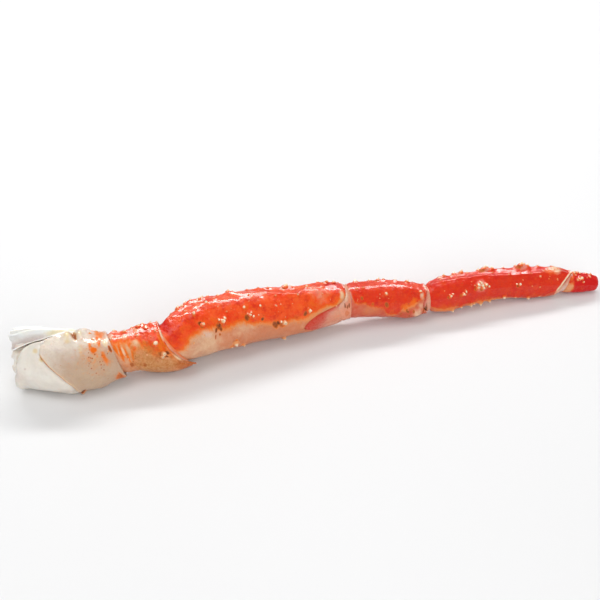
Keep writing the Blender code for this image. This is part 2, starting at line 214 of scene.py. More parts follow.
@dataclass(frozen=True)
class Leg:
    """The whole leg's centreline, and how a station, an angle and a radius become a point in space."""

    segments: tuple = SEGMENTS
    start: tuple = (-217.54 * MM, 10.91 * MM, 19.6 * MM)
    lean_reach: float = 15 * MM  # how far along the leg a joint's lean fades out

    @property
    def names(self) -> list[str]:
        """The segments' names, from the shoulder to the toe."""
        return [segment.name for segment in self.segments]

    def segment(self, name: str) -> Segment:
        """The segment of a name."""
        return self.segments[self.names.index(name)]

    def joint(self, name: str) -> float:
        """The station of the joint behind a segment."""
        return sum(segment.length for segment in self.segments[: self.names.index(name)])

    def centreline(self) -> Array:
        """The centreline's points, at the joints and mid-segments.

        Returns:
            Rows of station, x, y, z, with one more beyond each end.
        """
        station, (x, y, z) = 0.0, self.start
        rows = [(station, x, y, z)]
        for segment in self.segments:
            ahead = (math.cos(math.radians(segment.heading)), math.sin(math.radians(segment.heading)))
            share, sideways, upwards = segment.bow
            part = segment.length * share
            rows.append((station + part, x + ahead[0] * part - ahead[1] * sideways,
                         y + ahead[1] * part + ahead[0] * sideways,
                         z + (segment.height - z) * share + upwards))
            station, x, y, z = (station + segment.length, x + ahead[0] * segment.length,
                                y + ahead[1] * segment.length, segment.height)
            rows.append((station, x, y, z))
        before = 2 * np.array(rows[0]) - np.array(rows[1])
        beyond = 2 * np.array(rows[-1]) - np.array(rows[-2])
        return np.vstack([before, rows, beyond])

    def axes(self, station: Array) -> tuple[Array, Array, Array]:
        """The centreline at stations, with the leg's own directions there.

        Args:
            station: Distances along the centreline.

        Returns:
            Its points, and the directions of the back and of the front side.
        """
        line, step = self.centreline(), 0.5 * MM
        rolls = [(self.joint(segment.name) + segment.length / 2, segment.roll) for segment in self.segments]
        ahead = smooth(line, station + step) - smooth(line, station - step)
        ahead /= np.linalg.norm(ahead, axis=-1, keepdims=True)
        level = np.cross(ahead, (0, 0, 1))
        level /= np.linalg.norm(level, axis=-1, keepdims=True)
        upright = np.cross(level, ahead)
        roll = np.radians(smooth(rolls, station))
        back = np.cos(roll) * upright - np.sin(roll) * level
        front = np.cos(roll) * level + np.sin(roll) * upright
        return smooth(line, station), back, front

    def place(self, station: Array, angle: Array, radius: Array) -> Array:
        """Points of the leg, with the lean of the joints near them, and none under the surface it lies on.

        Args:
            station: Distances along the centreline.
            angle: Degrees round it.
            radius: Distances out from it.

        Returns:
            The points, with x, y and z on the last axis.
        """
        station, angle, radius = np.broadcast_arrays(station, angle, radius)
        turn = np.radians(angle)
        for segment in self.segments[:-1]:
            joint = self.joint(segment.name) + segment.length
            reach = radius / (segment.girth[-2][1] * MM)
            fading = hump(station, joint, self.lean_reach)
            station = station - segment.lean * reach * np.cos(turn) * fading
        point, back, front = self.axes(station)
        spots = point + radius[..., None] * (np.cos(turn)[..., None] * back + np.sin(turn)[..., None] * front)
        spots[..., 2] = np.maximum(spots[..., 2], 0.0)
        return spots

    def girth(self, name: str, station: Array, angle: Array) -> Array:
        """The radius of a segment's outside, before any relief.

        Args:
            name: The segment's name.
            station: Distances along the centreline.
            angle: Degrees round it.

        Returns:
            The radii.
        """
        segment = self.segment(name)
        back, side, belly = np.moveaxis(smooth(segment.girth, (station - self.joint(name)) / MM), -1, 0) * MM
        turn, power = np.radians(angle), segment.squareness
        height = np.where(np.cos(turn) > 0, back, belly)
        outline = np.abs(np.cos(turn) / height) ** power + np.abs(np.sin(turn) / side) ** power
        ridges = sum(size * hump(turn_from(angle, at), 0, width)
                     for at, size, width in ((-4, 0.05, 16), (84, 0.04, 18), (-88, 0.04, 18)))
        return outline ** (-1 / power) * (1 + (0 if name == "coxa" else ridges))


LEG = Leg()


# ---------------- skins: grids of points turned into meshes


class Skin:
    """Collects grids of points as one mesh, with a value of each tint at every point."""

    def __init__(self) -> None:
        """Starts with no points."""
        self.points: list[Array] = []
        self.faces: list[tuple] = []
        self.tints: dict[Tint, list[Array]] = {tint: [] for tint in Tint}
        self.count = 0

    def _store(self, points: Array, tints: dict[Tint, Array]) -> int:
        """Adds points with their tints.

        Args:
            points: The points, with x, y and z on the last axis.
            tints: A value of each tint that they have.

        Returns:
            The number of the first one.
        """
        flat = points.reshape(-1, 3)
        self.points.append(flat)
        for tint in Tint:
            value = tints.get(tint, 0.0)
            self.tints[tint].append(np.broadcast_to(value, points.shape[:-1]).reshape(-1))
        first, self.count = self.count, self.count + len(flat)
        return first

    def _grid(self, first: int, rows: int, columns: int, closed: bool) -> None:
        """Adds the faces of a grid of stored points.

        Args:
            first: The number of its first point.
            rows: How many rows it has.
            columns: How many points a row has.
            closed: Whether a row joins up with its own start.
        """
        across = columns if closed else columns - 1
        for i in range(rows - 1):
            for j in range(across):
                k = (j + 1) % columns
                self.faces.append((first + i * columns + j, first + i * columns + k,
                                   first + (i + 1) * columns + k, first + (i + 1) * columns + j))

    def tube(self, points: Array, tints: dict[Tint, Array]) -> None:
        """Adds a closed tube of rings, with a pole at each end.

        Args:
            points: Rings of points, of shape (rings, spokes, 3).
            tints: A value of each tint that it has, of shape (rings, spokes).
        """
        rows, columns = points.shape[:2]
        first = self._store(points, tints)
        self._grid(first, rows, columns, closed=True)
        for row, turned in ((0, True), (rows - 1, False)):
            pole = self._store(points[row].mean(axis=0)[None],
                               {tint: np.array([value[row].mean()]) for tint, value in tints.items()})
            for j in range(columns):
                pair = (first + row * columns + j, first + row * columns + (j + 1) % columns)
                self.faces.append((pole, *(pair[::-1] if turned else pair)))

    def leaf(self, outer: Array, inner: Array, tints: dict[Tint, Array]) -> None:
        """Adds a closed leaf from its two faces.

        Args:
            outer: Rows of points of the outside, of shape (rows, columns, 3).
            inner: The same for the inside.
            tints: A value of each tint that it has, of shape (rows, columns).
        """
        rows, columns = outer.shape[:2]
        top = self._store(outer, tints)
        below = self._store(inner, tints)
        self._grid(top, rows, columns, closed=False)
        faces = len(self.faces)
        self._grid(below, rows, columns, closed=False)
        self.faces[faces:] = [face[::-1] for face in self.faces[faces:]]
        rim = [(0, j) for j in range(columns - 1)] + [(i, columns - 1) for i in range(rows - 1)]
        rim += [(rows - 1, j) for j in range(columns - 1, 0, -1)] + [(i, 0) for i in range(rows - 1, 0, -1)]
        for (i, j), (m, n) in zip(rim, rim[1:] + rim[:1]):
            one, two = i * columns + j, m * columns + n
            self.faces.append((top + two, top + one, below + one, below + two))

    def piece(self, name: str, material: Material) -> Piece:
        """Makes the object, with its faces pointing out.

        Args:
            name: The object's name.
            material: Its one material.

        Returns:
            The object, at the origin, with its place in its mesh.
        """
        mesh = bpy.data.meshes.new(name)
        mesh.from_pydata(np.vstack(self.points).tolist(), [], self.faces)
        for tint, values in self.tints.items():
            stored = mesh.attributes.new(tint.value, "FLOAT", "POINT")
            stored.data.foreach_set("value", np.concatenate(values).astype(np.float32))
        turn_outwards(mesh)
        mesh.shade_smooth()
        mesh.materials.append(material)
        piece = bpy.data.objects.new(name, mesh)
        bpy.context.scene.collection.objects.link(piece)
        return piece


def turn_outwards(mesh: bpy.types.Mesh) -> None:
    """Flips a closed mesh if its faces point inwards.

    Args:
        mesh: The mesh.
    """
    points = np.zeros(len(mesh.vertices) * 3)
    mesh.vertices.foreach_get("co", points)
    points = points.reshape(-1, 3)
    mesh.calc_loop_triangles()
    corners = np.zeros(len(mesh.loop_triangles) * 3, dtype=np.int64)
    mesh.loop_triangles.foreach_get("vertices", corners)
    a, b, c = (points[corners.reshape(-1, 3)[:, k]] for k in range(3))
    if np.einsum("ij,ij->", a, np.cross(b, c)) < 0:
        mesh.flip_normals()


def dress(piece: Piece, slot: str, *nodes: str) -> Piece:
    """Has a piece ride on the leg, hides the frame nodes that it stands for, and reports it.

    Args:
        piece: The piece.
        slot: The slot's name; not used.
        nodes: The frame nodes it stands for.

    Returns:
        The same piece.
    """
    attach(piece, BODY)
    if nodes:
        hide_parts(*nodes)
    faces = len(piece.data.polygons)
    LOG.info("%s: %d faces, for %s", piece.name, faces, ", ".join(nodes) or "nothing hidden")
    return piece


# ---------------- node graphs


@dataclass(frozen=True)
class Wire:
    """An output of a node, which takes part in sums as a number does."""

    graph: "Graph"
    socket: bpy.types.NodeSocket

    def __add__(self, other: "Wire | float") -> "Wire":
        """The sum."""
        return self.graph.maths("ADD", self, other)

    __radd__ = __add__

    def __sub__(self, other: "Wire | float") -> "Wire":
        """The difference."""
        return self.graph.maths("SUBTRACT", self, other)

    def __rsub__(self, other: "Wire | float") -> "Wire":
        """The difference, the other way round."""
        return self.graph.maths("SUBTRACT", other, self)

    def __mul__(self, other: "Wire | float") -> "Wire":
        """The product."""
        return self.graph.maths("MULTIPLY", self, other)

    __rmul__ = __mul__

    def __truediv__(self, other: "Wire | float") -> "Wire":
        """The quotient."""
        return self.graph.maths("DIVIDE", self, other)

    def __pow__(self, other: "Wire | float") -> "Wire":
        """The power."""
        return self.graph.maths("POWER", self, other)

    def rise(self, low: float, high: float) -> "Wire":
        """0 below low, 1 above high, and a smooth rise between them; it falls where low is above high."""
        limits = {"Value": self, "From Min": low, "From Max": high, "To Min": 0.0, "To Max": 1.0}
        return self.graph.node("ShaderNodeMapRange", {"interpolation_type": "SMOOTHSTEP"}, limits)


class Graph:
    """A node tree that is built up from expressions."""

    def __init__(self, tree: bpy.types.NodeTree) -> None:
        """Empties the tree."""
        self.tree = tree
        tree.nodes.clear()

    def node(self, kind: str, settings: dict | None = None, inputs: dict | None = None,
             output: int | str = 0) -> Wire:
        """Adds a node.

        Args:
            kind: The node's type.
            settings: Its own settings, set first.
            inputs: Values or wires for its sockets, by name or number.
            output: The socket that is returned.

        Returns:
            The wire from that socket.
        """
        made = self.tree.nodes.new(kind)
        for key, value in (settings or {}).items():
            setattr(made, key, value)
        for key, value in (inputs or {}).items():
            if isinstance(value, Wire):
                self.tree.links.new(value.socket, made.inputs[key])
            else:
                made.inputs[key].default_value = value
        return Wire(self, made.outputs[output] if made.outputs else None)

    def maths(self, operation: str, first: Wire | float, second: Wire | float = 0.0) -> Wire:
        """One sum of two values."""
        return self.node("ShaderNodeMath", {"operation": operation}, {0: first, 1: second})

    def vector(self, operation: str, first: Wire | tuple, second: Wire | tuple | float) -> Wire:
        """One sum of two vectors, or a vector scaled by a number."""
        slot = "Scale" if operation == "SCALE" else 1
        return self.node("ShaderNodeVectorMath", {"operation": operation}, {0: first, slot: second})


def colour(red: float, green: float, blue: float) -> tuple:
    """A colour with no transparency."""
    return (red, green, blue, 1.0)


class Palette(Enum):
    """The leg's colours, as they are in even white light, and the warm tan that paints shade on pale parts.
    """

    RED = colour(0.76, 0.044, 0.003)
    RED_DEEP = colour(0.58, 0.016, 0.001)
    RED_LIGHT = colour(0.84, 0.110, 0.018)
    CRIMSON = colour(0.58, 0.006, 0.004)
    ORANGE = colour(0.78, 0.140, 0.003)
    PEACH = colour(0.74, 0.275, 0.085)
    BLUSH = colour(0.58, 0.165, 0.065)
    IVORY = colour(0.70, 0.430, 0.260)
    IVORY_PINK = colour(0.64, 0.280, 0.150)
    CREAM = colour(0.80, 0.640, 0.420)
    SHELL_WHITE = colour(0.72, 0.640, 0.550)
    SHELL_GREY = colour(0.66, 0.560, 0.460)
    WHITE = colour(0.90, 0.880, 0.830)
    WHITE_GREY = colour(0.80, 0.750, 0.680)
    # the tan of the painted shade on pale parts, also used for a few real tan streaks
    WHITE_SHADE = colour(0.485, 0.318, 0.210)
    BROWN = colour(0.170, 0.038, 0.006)
    AMBER = colour(0.42, 0.088, 0.012)
    OCHRE = colour(0.52, 0.260, 0.070)
    GOLD = colour(0.74, 0.560, 0.240)
    LILAC = colour(0.66, 0.550, 0.510)
    ROSE = colour(0.80, 0.440, 0.350)
    SKIN_RED = colour(0.56, 0.040, 0.014)
    SKIN_PINK = colour(0.66, 0.210, 0.120)
    SKIN_PALE = colour(0.66, 0.370, 0.260)


class Paint(Graph):
    """A material's graph, which ends in one Principled shader."""

    def __init__(self, name: str) -> None:
        """Starts an empty material.

        Args:
            name: Its name.
        """
        self.material = bpy.data.materials.new(name)
        self.material.use_nodes = True
        super().__init__(self.material.node_tree)
        self.where = self.node("ShaderNodeTexCoord", output="Object")

    def value(self, name: str) -> Wire:
        """A named value that the piece carries at its points."""
        return self.node("ShaderNodeAttribute", {"attribute_name": name}, output="Fac")

    def tint(self, tint: Tint) -> Wire:
        """The value of a tint over the piece."""
        return self.value(tint.value)

    def cloud(self, size: float, detail: float = 2.0, shift: float = 0.0) -> Wire:
        """Soft blotches of a size in metres, from about -1 to 1."""
        inputs = {"Vector": self.where, "W": shift, "Scale": 1 / size, "Detail": detail, "Roughness": 0.55}
        return (self.node("ShaderNodeTexNoise", {"noise_dimensions": "4D"}, inputs) - 0.5) * CLOUD_SPREAD

    def dots(self, size: float, share: float, edge: float) -> Wire:
        """Small round spots, 1 inside them and 0 outside, one to a cell of a size in metres."""
        inputs = {"Vector": self.where, "Scale": 1 / size, "Randomness": 1.0}
        return self.node("ShaderNodeTexVoronoi", inputs=inputs, output="Distance").rise(share + edge, share)

    def mix(self, factor: Wire | float, low: Wire | tuple, high: Wire | tuple) -> Wire:
        """A colour between two, by a factor."""
        return self.node("ShaderNodeMix", {"data_type": "RGBA"}, {0: factor, 6: low, 7: high}, output=2)

    def between(self, factor: Wire, low: Palette, high: Palette) -> Wire:
        """A colour between two of the palette, by a factor."""
        return self.mix(factor, low.value, high.value)

    def cover(self, tint: Tint, noise: Wire, low: float, high: float, most: float = 1.0) -> Wire:
        """How much a tint covers: none where its value with noise on it is at low, and the most at high."""
        return (self.tint(tint) + noise).rise(low, high) * most

    def layered(self, base: Wire, *layers: tuple) -> Wire:
        """A colour with others laid over it in turn.

        Args:
            base: The colour under them.
            layers: Pairs of how much one covers, and its colour.

        Returns:
            The colour that they make.
        """
        for factor, over in layers:
            base = self.mix(factor, base, over.value if isinstance(over, Palette) else over)
        return base

    def bump(self, height: Wire, distance: float, strength: float, below: Wire | None = None) -> Wire:
        """A surface's fine relief.

        Args:
            height: Its height.
            distance: How deep it is, in metres.
            strength: How strongly it shows.
            below: The relief that it lies on, if any.

        Returns:
            The surface's normal.
        """
        inputs = {"Height": height, "Distance": distance, "Strength": strength}
        if below:
            inputs["Normal"] = below
        return self.node("ShaderNodeBump", inputs=inputs)

    def finish(self, inputs: dict) -> Material:
        """Ends the graph in a Principled shader.

        Args:
            inputs: Values or wires for the shader's sockets.

        Returns:
            The material.
        """
        shader = self.node("ShaderNodeBsdfPrincipled", inputs=inputs)
        self.node("ShaderNodeOutputMaterial", inputs={"Surface": shader})
        return self.material


@dataclass(frozen=True)
class ShellFinish:
    """Cooked crab shell: red over ivory, mottled, specked, stained brown round its spines, and wet."""

    name: str
    ivory: Palette = Palette.IVORY
    ivory_shade: Palette = Palette.IVORY_PINK
    roughness: float = 0.34
    coat: float = 0.55
    subsurface: float = 0.05
    pimples: float = 1.2  # how far its fine pimples stand up

    def paint(self) -> Material:
        """Builds the material.

        Returns:
            The material.
        """
        g = Paint(self.name)
        mottle = g.cloud(9 * MM, detail=3)
        blotch = g.cloud(3.6 * MM, detail=3, shift=7.0)
        fine = g.cloud(1.3 * MM, detail=3, shift=2.0)
        grit = g.cloud(0.45 * MM, detail=2, shift=5.0)
        pimples = g.dots(3.1 * MM, 0.14, 0.16)
        red = g.layered(
            g.between((mottle * 0.8 + blotch * 0.6).rise(-0.5, 0.7), Palette.RED, Palette.RED_LIGHT),
            ((g.cloud(6 * MM, shift=9.0) + fine * 0.4).rise(-0.1, 0.6) * 0.8, Palette.RED_DEEP),
            ((g.cloud(5 * MM, shift=13.0) + grit * 0.3).rise(0.0, 0.7) * 0.5, Palette.ORANGE),
            (pimples * 0.5, Palette.RED_LIGHT),
        )
        depth = g.tint(Tint.RED) + blotch * 0.13 + fine * 0.12 + grit * 0.08
        warm = g.tint(Tint.ORANGE) + blotch * 0.22 + fine * 0.14
        bare = g.tint(Tint.BARE) + blotch * 0.12 + fine * 0.14 + grit * 0.06
        stain = g.tint(Tint.BROWN) + blotch * 0.10 + fine * 0.22 + grit * 0.10
        specks = g.dots(2.2 * MM, 0.20, 0.14) * g.tint(Tint.SPECKS)
        few = g.dots(7.5 * MM, 0.045, 0.03) * 0.8 + g.dots(4.6 * MM, 0.05, 0.04) * depth.rise(0.5, 0.9)
        base = g.layered(
            g.between((mottle * 0.6 + blotch * 0.5).rise(-0.5, 0.7), self.ivory, self.ivory_shade),
            (g.cover(Tint.BLUSH, blotch * 0.25, 0.0, 1.0), Palette.BLUSH),
            # painted shade: pale shell darkened to warm tan where its tint says so
            (g.cover(Tint.SHADE, blotch * 0.2, 0.0, 1.1, 0.85), Palette.WHITE_SHADE),
            (g.cover(Tint.GOLD, fine * 0.2, 0.1, 1.0, 0.7), Palette.GOLD),
            (g.cover(Tint.LILAC, blotch * 0.15, 0.1, 0.9, 0.8), Palette.LILAC),
            (depth.rise(0.02, 0.42) * 0.9, Palette.PEACH),
            (depth.rise(0.24, 0.62), Palette.ORANGE),
            (g.dots(1.5 * MM, 0.26, 0.14) * depth.rise(-0.02, 0.28) * 0.4, Palette.ORANGE),
            (depth.rise(0.40, 0.88), red),
            (g.cover(Tint.CRIMSON, blotch * 0.2 + fine * 0.12, 0.05, 1.0), Palette.CRIMSON),
            (warm.rise(0.05, 0.7) * depth.rise(0.65, 0.45), Palette.PEACH),
            (warm.rise(0.28, 0.92), Palette.ORANGE),
            (bare.rise(0.1, 0.95), g.between(g.tint(Tint.LILAC).rise(0.0, 0.8), Palette.CREAM, Palette.ROSE)),
            ((specks + few).rise(0.1, 0.9) * 0.85, Palette.AMBER),
            (g.tint(Tint.BROWN).rise(0.02, 0.45) * (fine * 0.4 + 0.7),
             g.between(g.tint(Tint.GOLD).rise(0.1, 0.7), Palette.ORANGE, Palette.OCHRE)),
            (stain.rise(0.15, 0.55) * 0.85, Palette.AMBER),
            (stain.rise(0.5, 1.0), Palette.BROWN),
        )
        relief = g.bump(blotch, 0.35 * MM, 0.7)
        relief = g.bump(fine + pimples * self.pimples, 0.17 * MM, 0.9, relief)
        relief = g.bump(grit - specks * 1.5, 0.05 * MM, 0.8, relief)
        return g.finish({
            "Base Color": base,
            "Roughness": fine * 0.07 + grit * 0.05 + stain.rise(0.2, 0.9) * 0.2 + self.roughness,
            "Normal": relief,
            "Specular IOR Level": 0.12,
            "Coat Weight": (blotch * 0.5 + 0.75).rise(0.0, 1.2) * self.coat,
            "Coat Roughness": 0.09,
            "Subsurface Weight": self.subsurface,
            "Subsurface Radius": (1.0, 0.35, 0.15),
            "Subsurface Scale": 1.5 * MM,
        })


@dataclass(frozen=True)
class SkinFinish:
    """Soft wet skin or meat: pale, with blotches and fine strands, and a little light goes into it."""

    name: str
    pale: Palette
    shade: Palette
    strand: float = 0.4  # how strongly the fine strands show
    roughness: float = 0.36
    coat: float = 0.5
    subsurface: float = 0.25

    def paint(self) -> Material:
        """Builds the material.

        Returns:
            The material.
        """
        g = Paint(self.name)
        mottle = g.cloud(9 * MM, detail=3)
        fine = g.cloud(1.6 * MM, detail=3, shift=3.0)
        drawn_out = g.vector("MULTIPLY", g.where, (0.12, 1.0, 1.0))
        strands = g.node("ShaderNodeTexNoise",
                         inputs={"Vector": drawn_out, "Scale": 1 / (0.9 * MM), "Detail": 3.0})
        strands = (strands - 0.5) * CLOUD_SPREAD
        mixed = mottle * 0.6 + strands * 0.3 * self.strand + fine * 0.15
        stain = g.tint(Tint.BROWN) + fine * 0.2
        base = g.layered(
            g.between(mixed.rise(-0.5, 1.0), self.pale, self.shade),
            # painted shade: pale skin darkened to warm tan where its tint says so
            (g.cover(Tint.SHADE, mottle * 0.2, 0.0, 1.1, 0.85), Palette.WHITE_SHADE),
            (g.cover(Tint.GOLD, fine * 0.2, 0.1, 1.0, 0.8), Palette.GOLD),
            (g.cover(Tint.LILAC, fine * 0.15, 0.1, 1.0, 0.85), Palette.LILAC),
            (g.cover(Tint.CRIMSON, mottle * 0.15 + strands * 0.12, 0.05, 0.95), Palette.SKIN_RED),
            (g.cover(Tint.ORANGE, fine * 0.2, 0.1, 0.9, 0.8), Palette.ORANGE),
            (g.cover(Tint.BARE, fine * 0.15, 0.1, 0.9, 0.85), Palette.CREAM),
            (stain.rise(0.12, 0.6) * 0.85, Palette.AMBER),
            (stain.rise(0.6, 1.0), Palette.BROWN),
        )
        relief = g.bump(mottle * 0.6 + fine * 0.6, 0.30 * MM, 0.7)
        relief = g.bump(strands, 0.14 * MM, min(1.0, self.strand), relief)
        return g.finish({
            "Base Color": base,
            "Roughness": fine * 0.06 + self.roughness,
            "Normal": relief,
            "Specular IOR Level": 0.3,
            "Coat Weight": (mottle * 0.3 + 1.0).rise(0.2, 1.6) * self.coat,
            "Coat Roughness": 0.12,
            "Subsurface Weight": self.subsurface,
            "Subsurface Radius": (1.0, 0.6, 0.4),
            "Subsurface Scale": 2.0 * MM,
        })


# ---------------- marks: where spines, stains and pits are


@dataclass(frozen=True)
class Mark:
    """A round or long spot on a skin: a bulge or a pit, with the tints that it has."""

    at: float  # millimetres from the joint behind
    angle: float
    width: float  # millimetres, its radius along the leg
    height: float = 0.0  # millimetres, below 0 for a pit
    tints: tuple = ()  # pairs of a tint and its strength
    stretch: float = 1.0  # its radius round the leg, over the one along it
    slant: float = 0.0  # millimetres that it shifts along the leg for each one round it


class Growth(Enum):
    """The kinds of spine."""

    PEARL = "pearls"  # a low round bump
    THORN = "thorns"  # a blunt cone that leans towards the toe
    STUMP = "stumps"  # a cone that lost its tip, with a dark hole
    HOOK = "hooks"  # a long cone that lies along the leg


@dataclass(frozen=True)
class Spine:
    """One spine: its kind, its place and its size, which is the width of its root in millimetres."""

    growth: Growth
    at: float
    angle: float
    size: float


# ---------------- the stiff segments


@dataclass(frozen=True)
class Rim:
    """The rolled lip at a segment's far end."""

    height: float = 0.4 * MM
    width: float = 1.2 * MM
    bare: float = 0.6  # how cream it is
    groove: float = 0.0  # depth of the groove behind it


@dataclass(frozen=True)
class Crest:
    """A ridge that runs along a segment."""

    line: tuple  # (millimetres from the joint behind, angle)
    height: float = 0.8 * MM
    width: float = 8.0  # degrees
    bare: float = 0.0


@dataclass(frozen=True)
class Limb:
    """A segment's shell, from its neck inside the joint behind it to the rim of the joint ahead of it."""

    name: str
    spokes: int
    step: float  # between rings
    red_front: tuple  # (millimetres from the joint, the angle where the red ends on the front side)
    red_rear: tuple
    feather: float  # degrees over which the red fades
    marks: tuple = ()
    spines: tuple = ()
    crests: tuple = ()
    rim: Rim = Rim()
    lumps: float = 0.45 * MM
    neck: float = 1.5 * MM  # from the joint behind to where its outside starts
    swell: tuple = ((0, 0), (20, 0))  # (millimetres from the joint, millimetres more than its frame's girth)
    crimson: float = 0.0
    blush: tuple = ((0, 0.5), (20, 0.5))  # (millimetres from the joint, how pink its ivory is)
    dome_depth: float = 8 * MM  # of its near end, which is closed
    cup_depth: float = 9 * MM  # of its far end, which is open for the next one
    slot: str = "red_shell"
    edge_points: tuple = ()  # (angle, millimetres past the joint behind) of the rim, all the way round

    def edge(self, angle: Array) -> Array:
        """The station of the rim.

        Args:
            angle: Angles round the leg.

        Returns:
            Its station at each of them.
        """
        near = LEG.joint(self.name)
        if self.edge_points:
            return near + curve(self.edge_points, angle, period=360) * MM
        return near + LEG.segment(self.name).length + 1.5 * MM + 0 * angle

    @property
    def seed(self) -> int:
        """The seed of its random relief."""
        return len(self.name)

    def unrolled(self, station: Array, angle: Array, radius: Array) -> Array:
        """Points of the straightened leg, to hang random relief on."""
        turn = np.radians(angle)
        return np.stack([station, radius * np.cos(turn), radius * np.sin(turn)], axis=-1)

    def spot_shares(self, mark: Mark, station: Array, angle: Array, radius: Array,
                    frayed: Array | float = 0.0) -> Array:
        """How far points are from a mark's middle.

        Args:
            mark: The mark.
            station: The points' stations.
            angle: Their angles.
            radius: Their radii before any relief.
            frayed: What makes its edge uneven.

        Returns:
            Their distances, in the mark's own widths.
        """
        along = (station - LEG.joint(self.name)) / MM - mark.at
        around = np.radians(turn_from(angle, mark.angle)) * radius / MM
        return np.hypot(along - mark.slant * around, around / mark.stretch) / mark.width + frayed

    def relief(self, station: Array, angle: Array, radius: Array) -> Array:
        """What the shell's bulges, ridges, pits and rim add to its radius.

        Args:
            station: The points' stations.
            angle: Their angles.
            radius: Their radii before any relief.

        Returns:
            The heights, below 0 in a pit.
        """
        hung = self.unrolled(station, angle, radius)
        grain = Grain(self.seed)
        along = (station - LEG.joint(self.name)) / MM
        added = self.lumps * grain.layers(hung, 12 * MM, 2) + 0.22 * MM * grain.layers(hung, 4 * MM, 2)
        added += 0.05 * MM * grain.at(hung, 1.3 * MM)
        chips = 0.5 + 0.5 * grain.at(hung * (1, 0.2, 0.2), 4.5 * MM)
        for crest in self.crests:
            turn = turn_from(angle, curve(crest.line, along))
            added += crest.height * (0.55 + 0.75 * chips) * np.exp(-np.abs(turn / crest.width) ** 1.4)
            added -= 0.30 * crest.height * hump(turn, -2.3 * crest.width, crest.width)
        for mark in self.marks:
            if mark.height:
                share = self.spot_shares(mark, station, angle, radius)
                added += mark.height * MM * hump(share, 0, 1)
        for spine in self.spines:
            if spine.size > BIG_SPINE:
                mound = Mark(spine.at, spine.angle, 0.75 * spine.size)
                share = self.spot_shares(mound, station, angle, radius)
                added += SPINE_SUNK * spine.size * MM * hump(share, 0, 1)
        back = self.edge(angle) - station
        added += self.rim.height * (0.35 + 1.1 * chips) * hump(back, 0, self.rim.width)
        added -= self.rim.groove * hump(back, 2.4 * self.rim.width, 0.7 * self.rim.width)
        start = station - LEG.joint(self.name) - self.neck
        return added * eased(0, 4 * MM, start) + curve(self.swell, along) * MM

    def tints(self, station: Array, angle: Array, radius: Array) -> dict[Tint, Array]:
        """The shell's colours.

        Args:
            station: The points' stations.
            angle: Their angles.
            radius: Their radii before any relief.

        Returns:
            A value of each tint at every point.
        """
        hung = self.unrolled(station, angle, radius)
        grain = Grain(40 + self.seed)
        along = (station - LEG.joint(self.name)) / MM
        streaks = 5 * grain.layers(hung * (1.8, 0.7, 0.7), 7 * MM)
        streaks += 2 * grain.layers(hung * (3, 1, 1), 2.4 * MM)
        frayed = 0.22 * grain.layers(hung, 2.2 * MM, 2)
        turned = turn_from(angle, 0)
        front = curve(self.red_front, along) - turned + streaks
        rear = curve(self.red_rear, along) + turned + streaks
        value = {tint: np.zeros(station.shape) for tint in Tint}
        value[Tint.RED] = eased(-self.feather, self.feather, np.minimum(front, rear))
        value[Tint.CRIMSON] = self.crimson + 0 * along
        value[Tint.BLUSH] = curve(self.blush, along)
        for mark in self.marks:
            share = self.spot_shares(mark, station, angle, radius, frayed)
            for tint, strength in mark.tints:
                fading = (1.3, 0.4) if tint is Tint.BROWN else (1.6, 0.1)  # a stain has the sharper edge
                covered = strength * eased(*fading, share)
                if strength < 0:
                    value[tint] += covered
                else:
                    at_least(value, tint, covered)
        for crest in self.crests:
            turn = turn_from(angle, curve(crest.line, along)) / crest.width
            at_least(value, Tint.BARE, crest.bare * hump(turn, 0, 1))
        for spine in self.spines:
            if spine.size <= BIG_SPINE:
                continue
            foot = Mark(spine.at, spine.angle, 0.95 * spine.size)
            share = self.spot_shares(foot, station, angle, radius, frayed)
            warm = (0.85 - 0.45 * value[Tint.RED]) * eased(1.1, 0.4, share)
            at_least(value, Tint.ORANGE, warm)
            shade = 0.0 if spine.growth is Growth.PEARL else 0.5
            foot = Mark(spine.at - 0.5 * spine.size, spine.angle + 4, 0.55 * spine.size)
            share = self.spot_shares(foot, station, angle, radius, frayed)
            at_least(value, Tint.BROWN, shade * eased(1.3, 0.4, share))
        back = (self.edge(angle) - station) / self.rim.width
        worn = self.rim.bare * (0.72 + 0.9 * grain.at(hung, 5 * MM))
        at_least(value, Tint.BARE, worn * eased(1.6, 0.5, back))
        return value

    def dome(self, angle: Array) -> list[tuple]:
        """The rings of the closed near end, which lies inside the joint behind.

        Args:
            angle: The spokes' angles.

        Returns:
            The rings, in the form that rings returns.
        """
        base = LEG.joint(self.name) + self.neck
        swell = float(curve(self.swell, self.neck / MM)) * MM
        return [(base - self.dome_depth * math.cos(turn) + 0 * angle,
                 (LEG.girth(self.name, base, angle) + swell) * math.sin(turn), 0.0)
                for turn in np.linspace(0.12, math.pi / 2, 8)[:-1]]

    def rolled(self, edge: Array, angle: Array) -> list[tuple]:
        """The rings of the rim, where the shell's outside rolls over into its inside.

        Args:
            edge: The rim's stations.
            angle: The spokes' angles.

        Returns:
            The rings, in the form that rings returns.
        """
        half, girth = LEG.segment(self.name).shell / 2, LEG.girth(self.name, edge, angle)
        return [(edge + 0.8 * half * math.sin(turn), girth - half + half * math.cos(turn), 1.0)
                for turn in ROLL[1:]]

    def rings(self, angle: Array) -> list[tuple]:
        """The shell's rings, from the pole in the joint behind to the floor of the joint ahead.

        Args:
            angle: The spokes' angles.

        Returns:
            For each ring, its stations, its radii before any relief, and how much relief it has.
        """
        name = self.name
        base = LEG.joint(name) + self.neck
        rows = self.dome(angle)
        edge = self.edge(angle)
        count = int(np.max(edge - base) / self.step) + 2
        for share in np.linspace(0, 1, count):
            at = base + (edge - base) * share
            rows.append((at, LEG.girth(name, at, angle), 1.0))
        rows += self.rolled(edge, angle)
        for share in (0.15, 0.4, 0.7, 1.0):
            at = edge - self.cup_depth * share
            rows.append((at, LEG.girth(name, at, angle) - LEG.segment(name).shell, 1.0 - share))
        middle = np.mean(edge) - self.cup_depth
        rows.append((at * 0.5 + middle * 0.5, rows[-1][1] * 0.5, 0.0))
        return rows

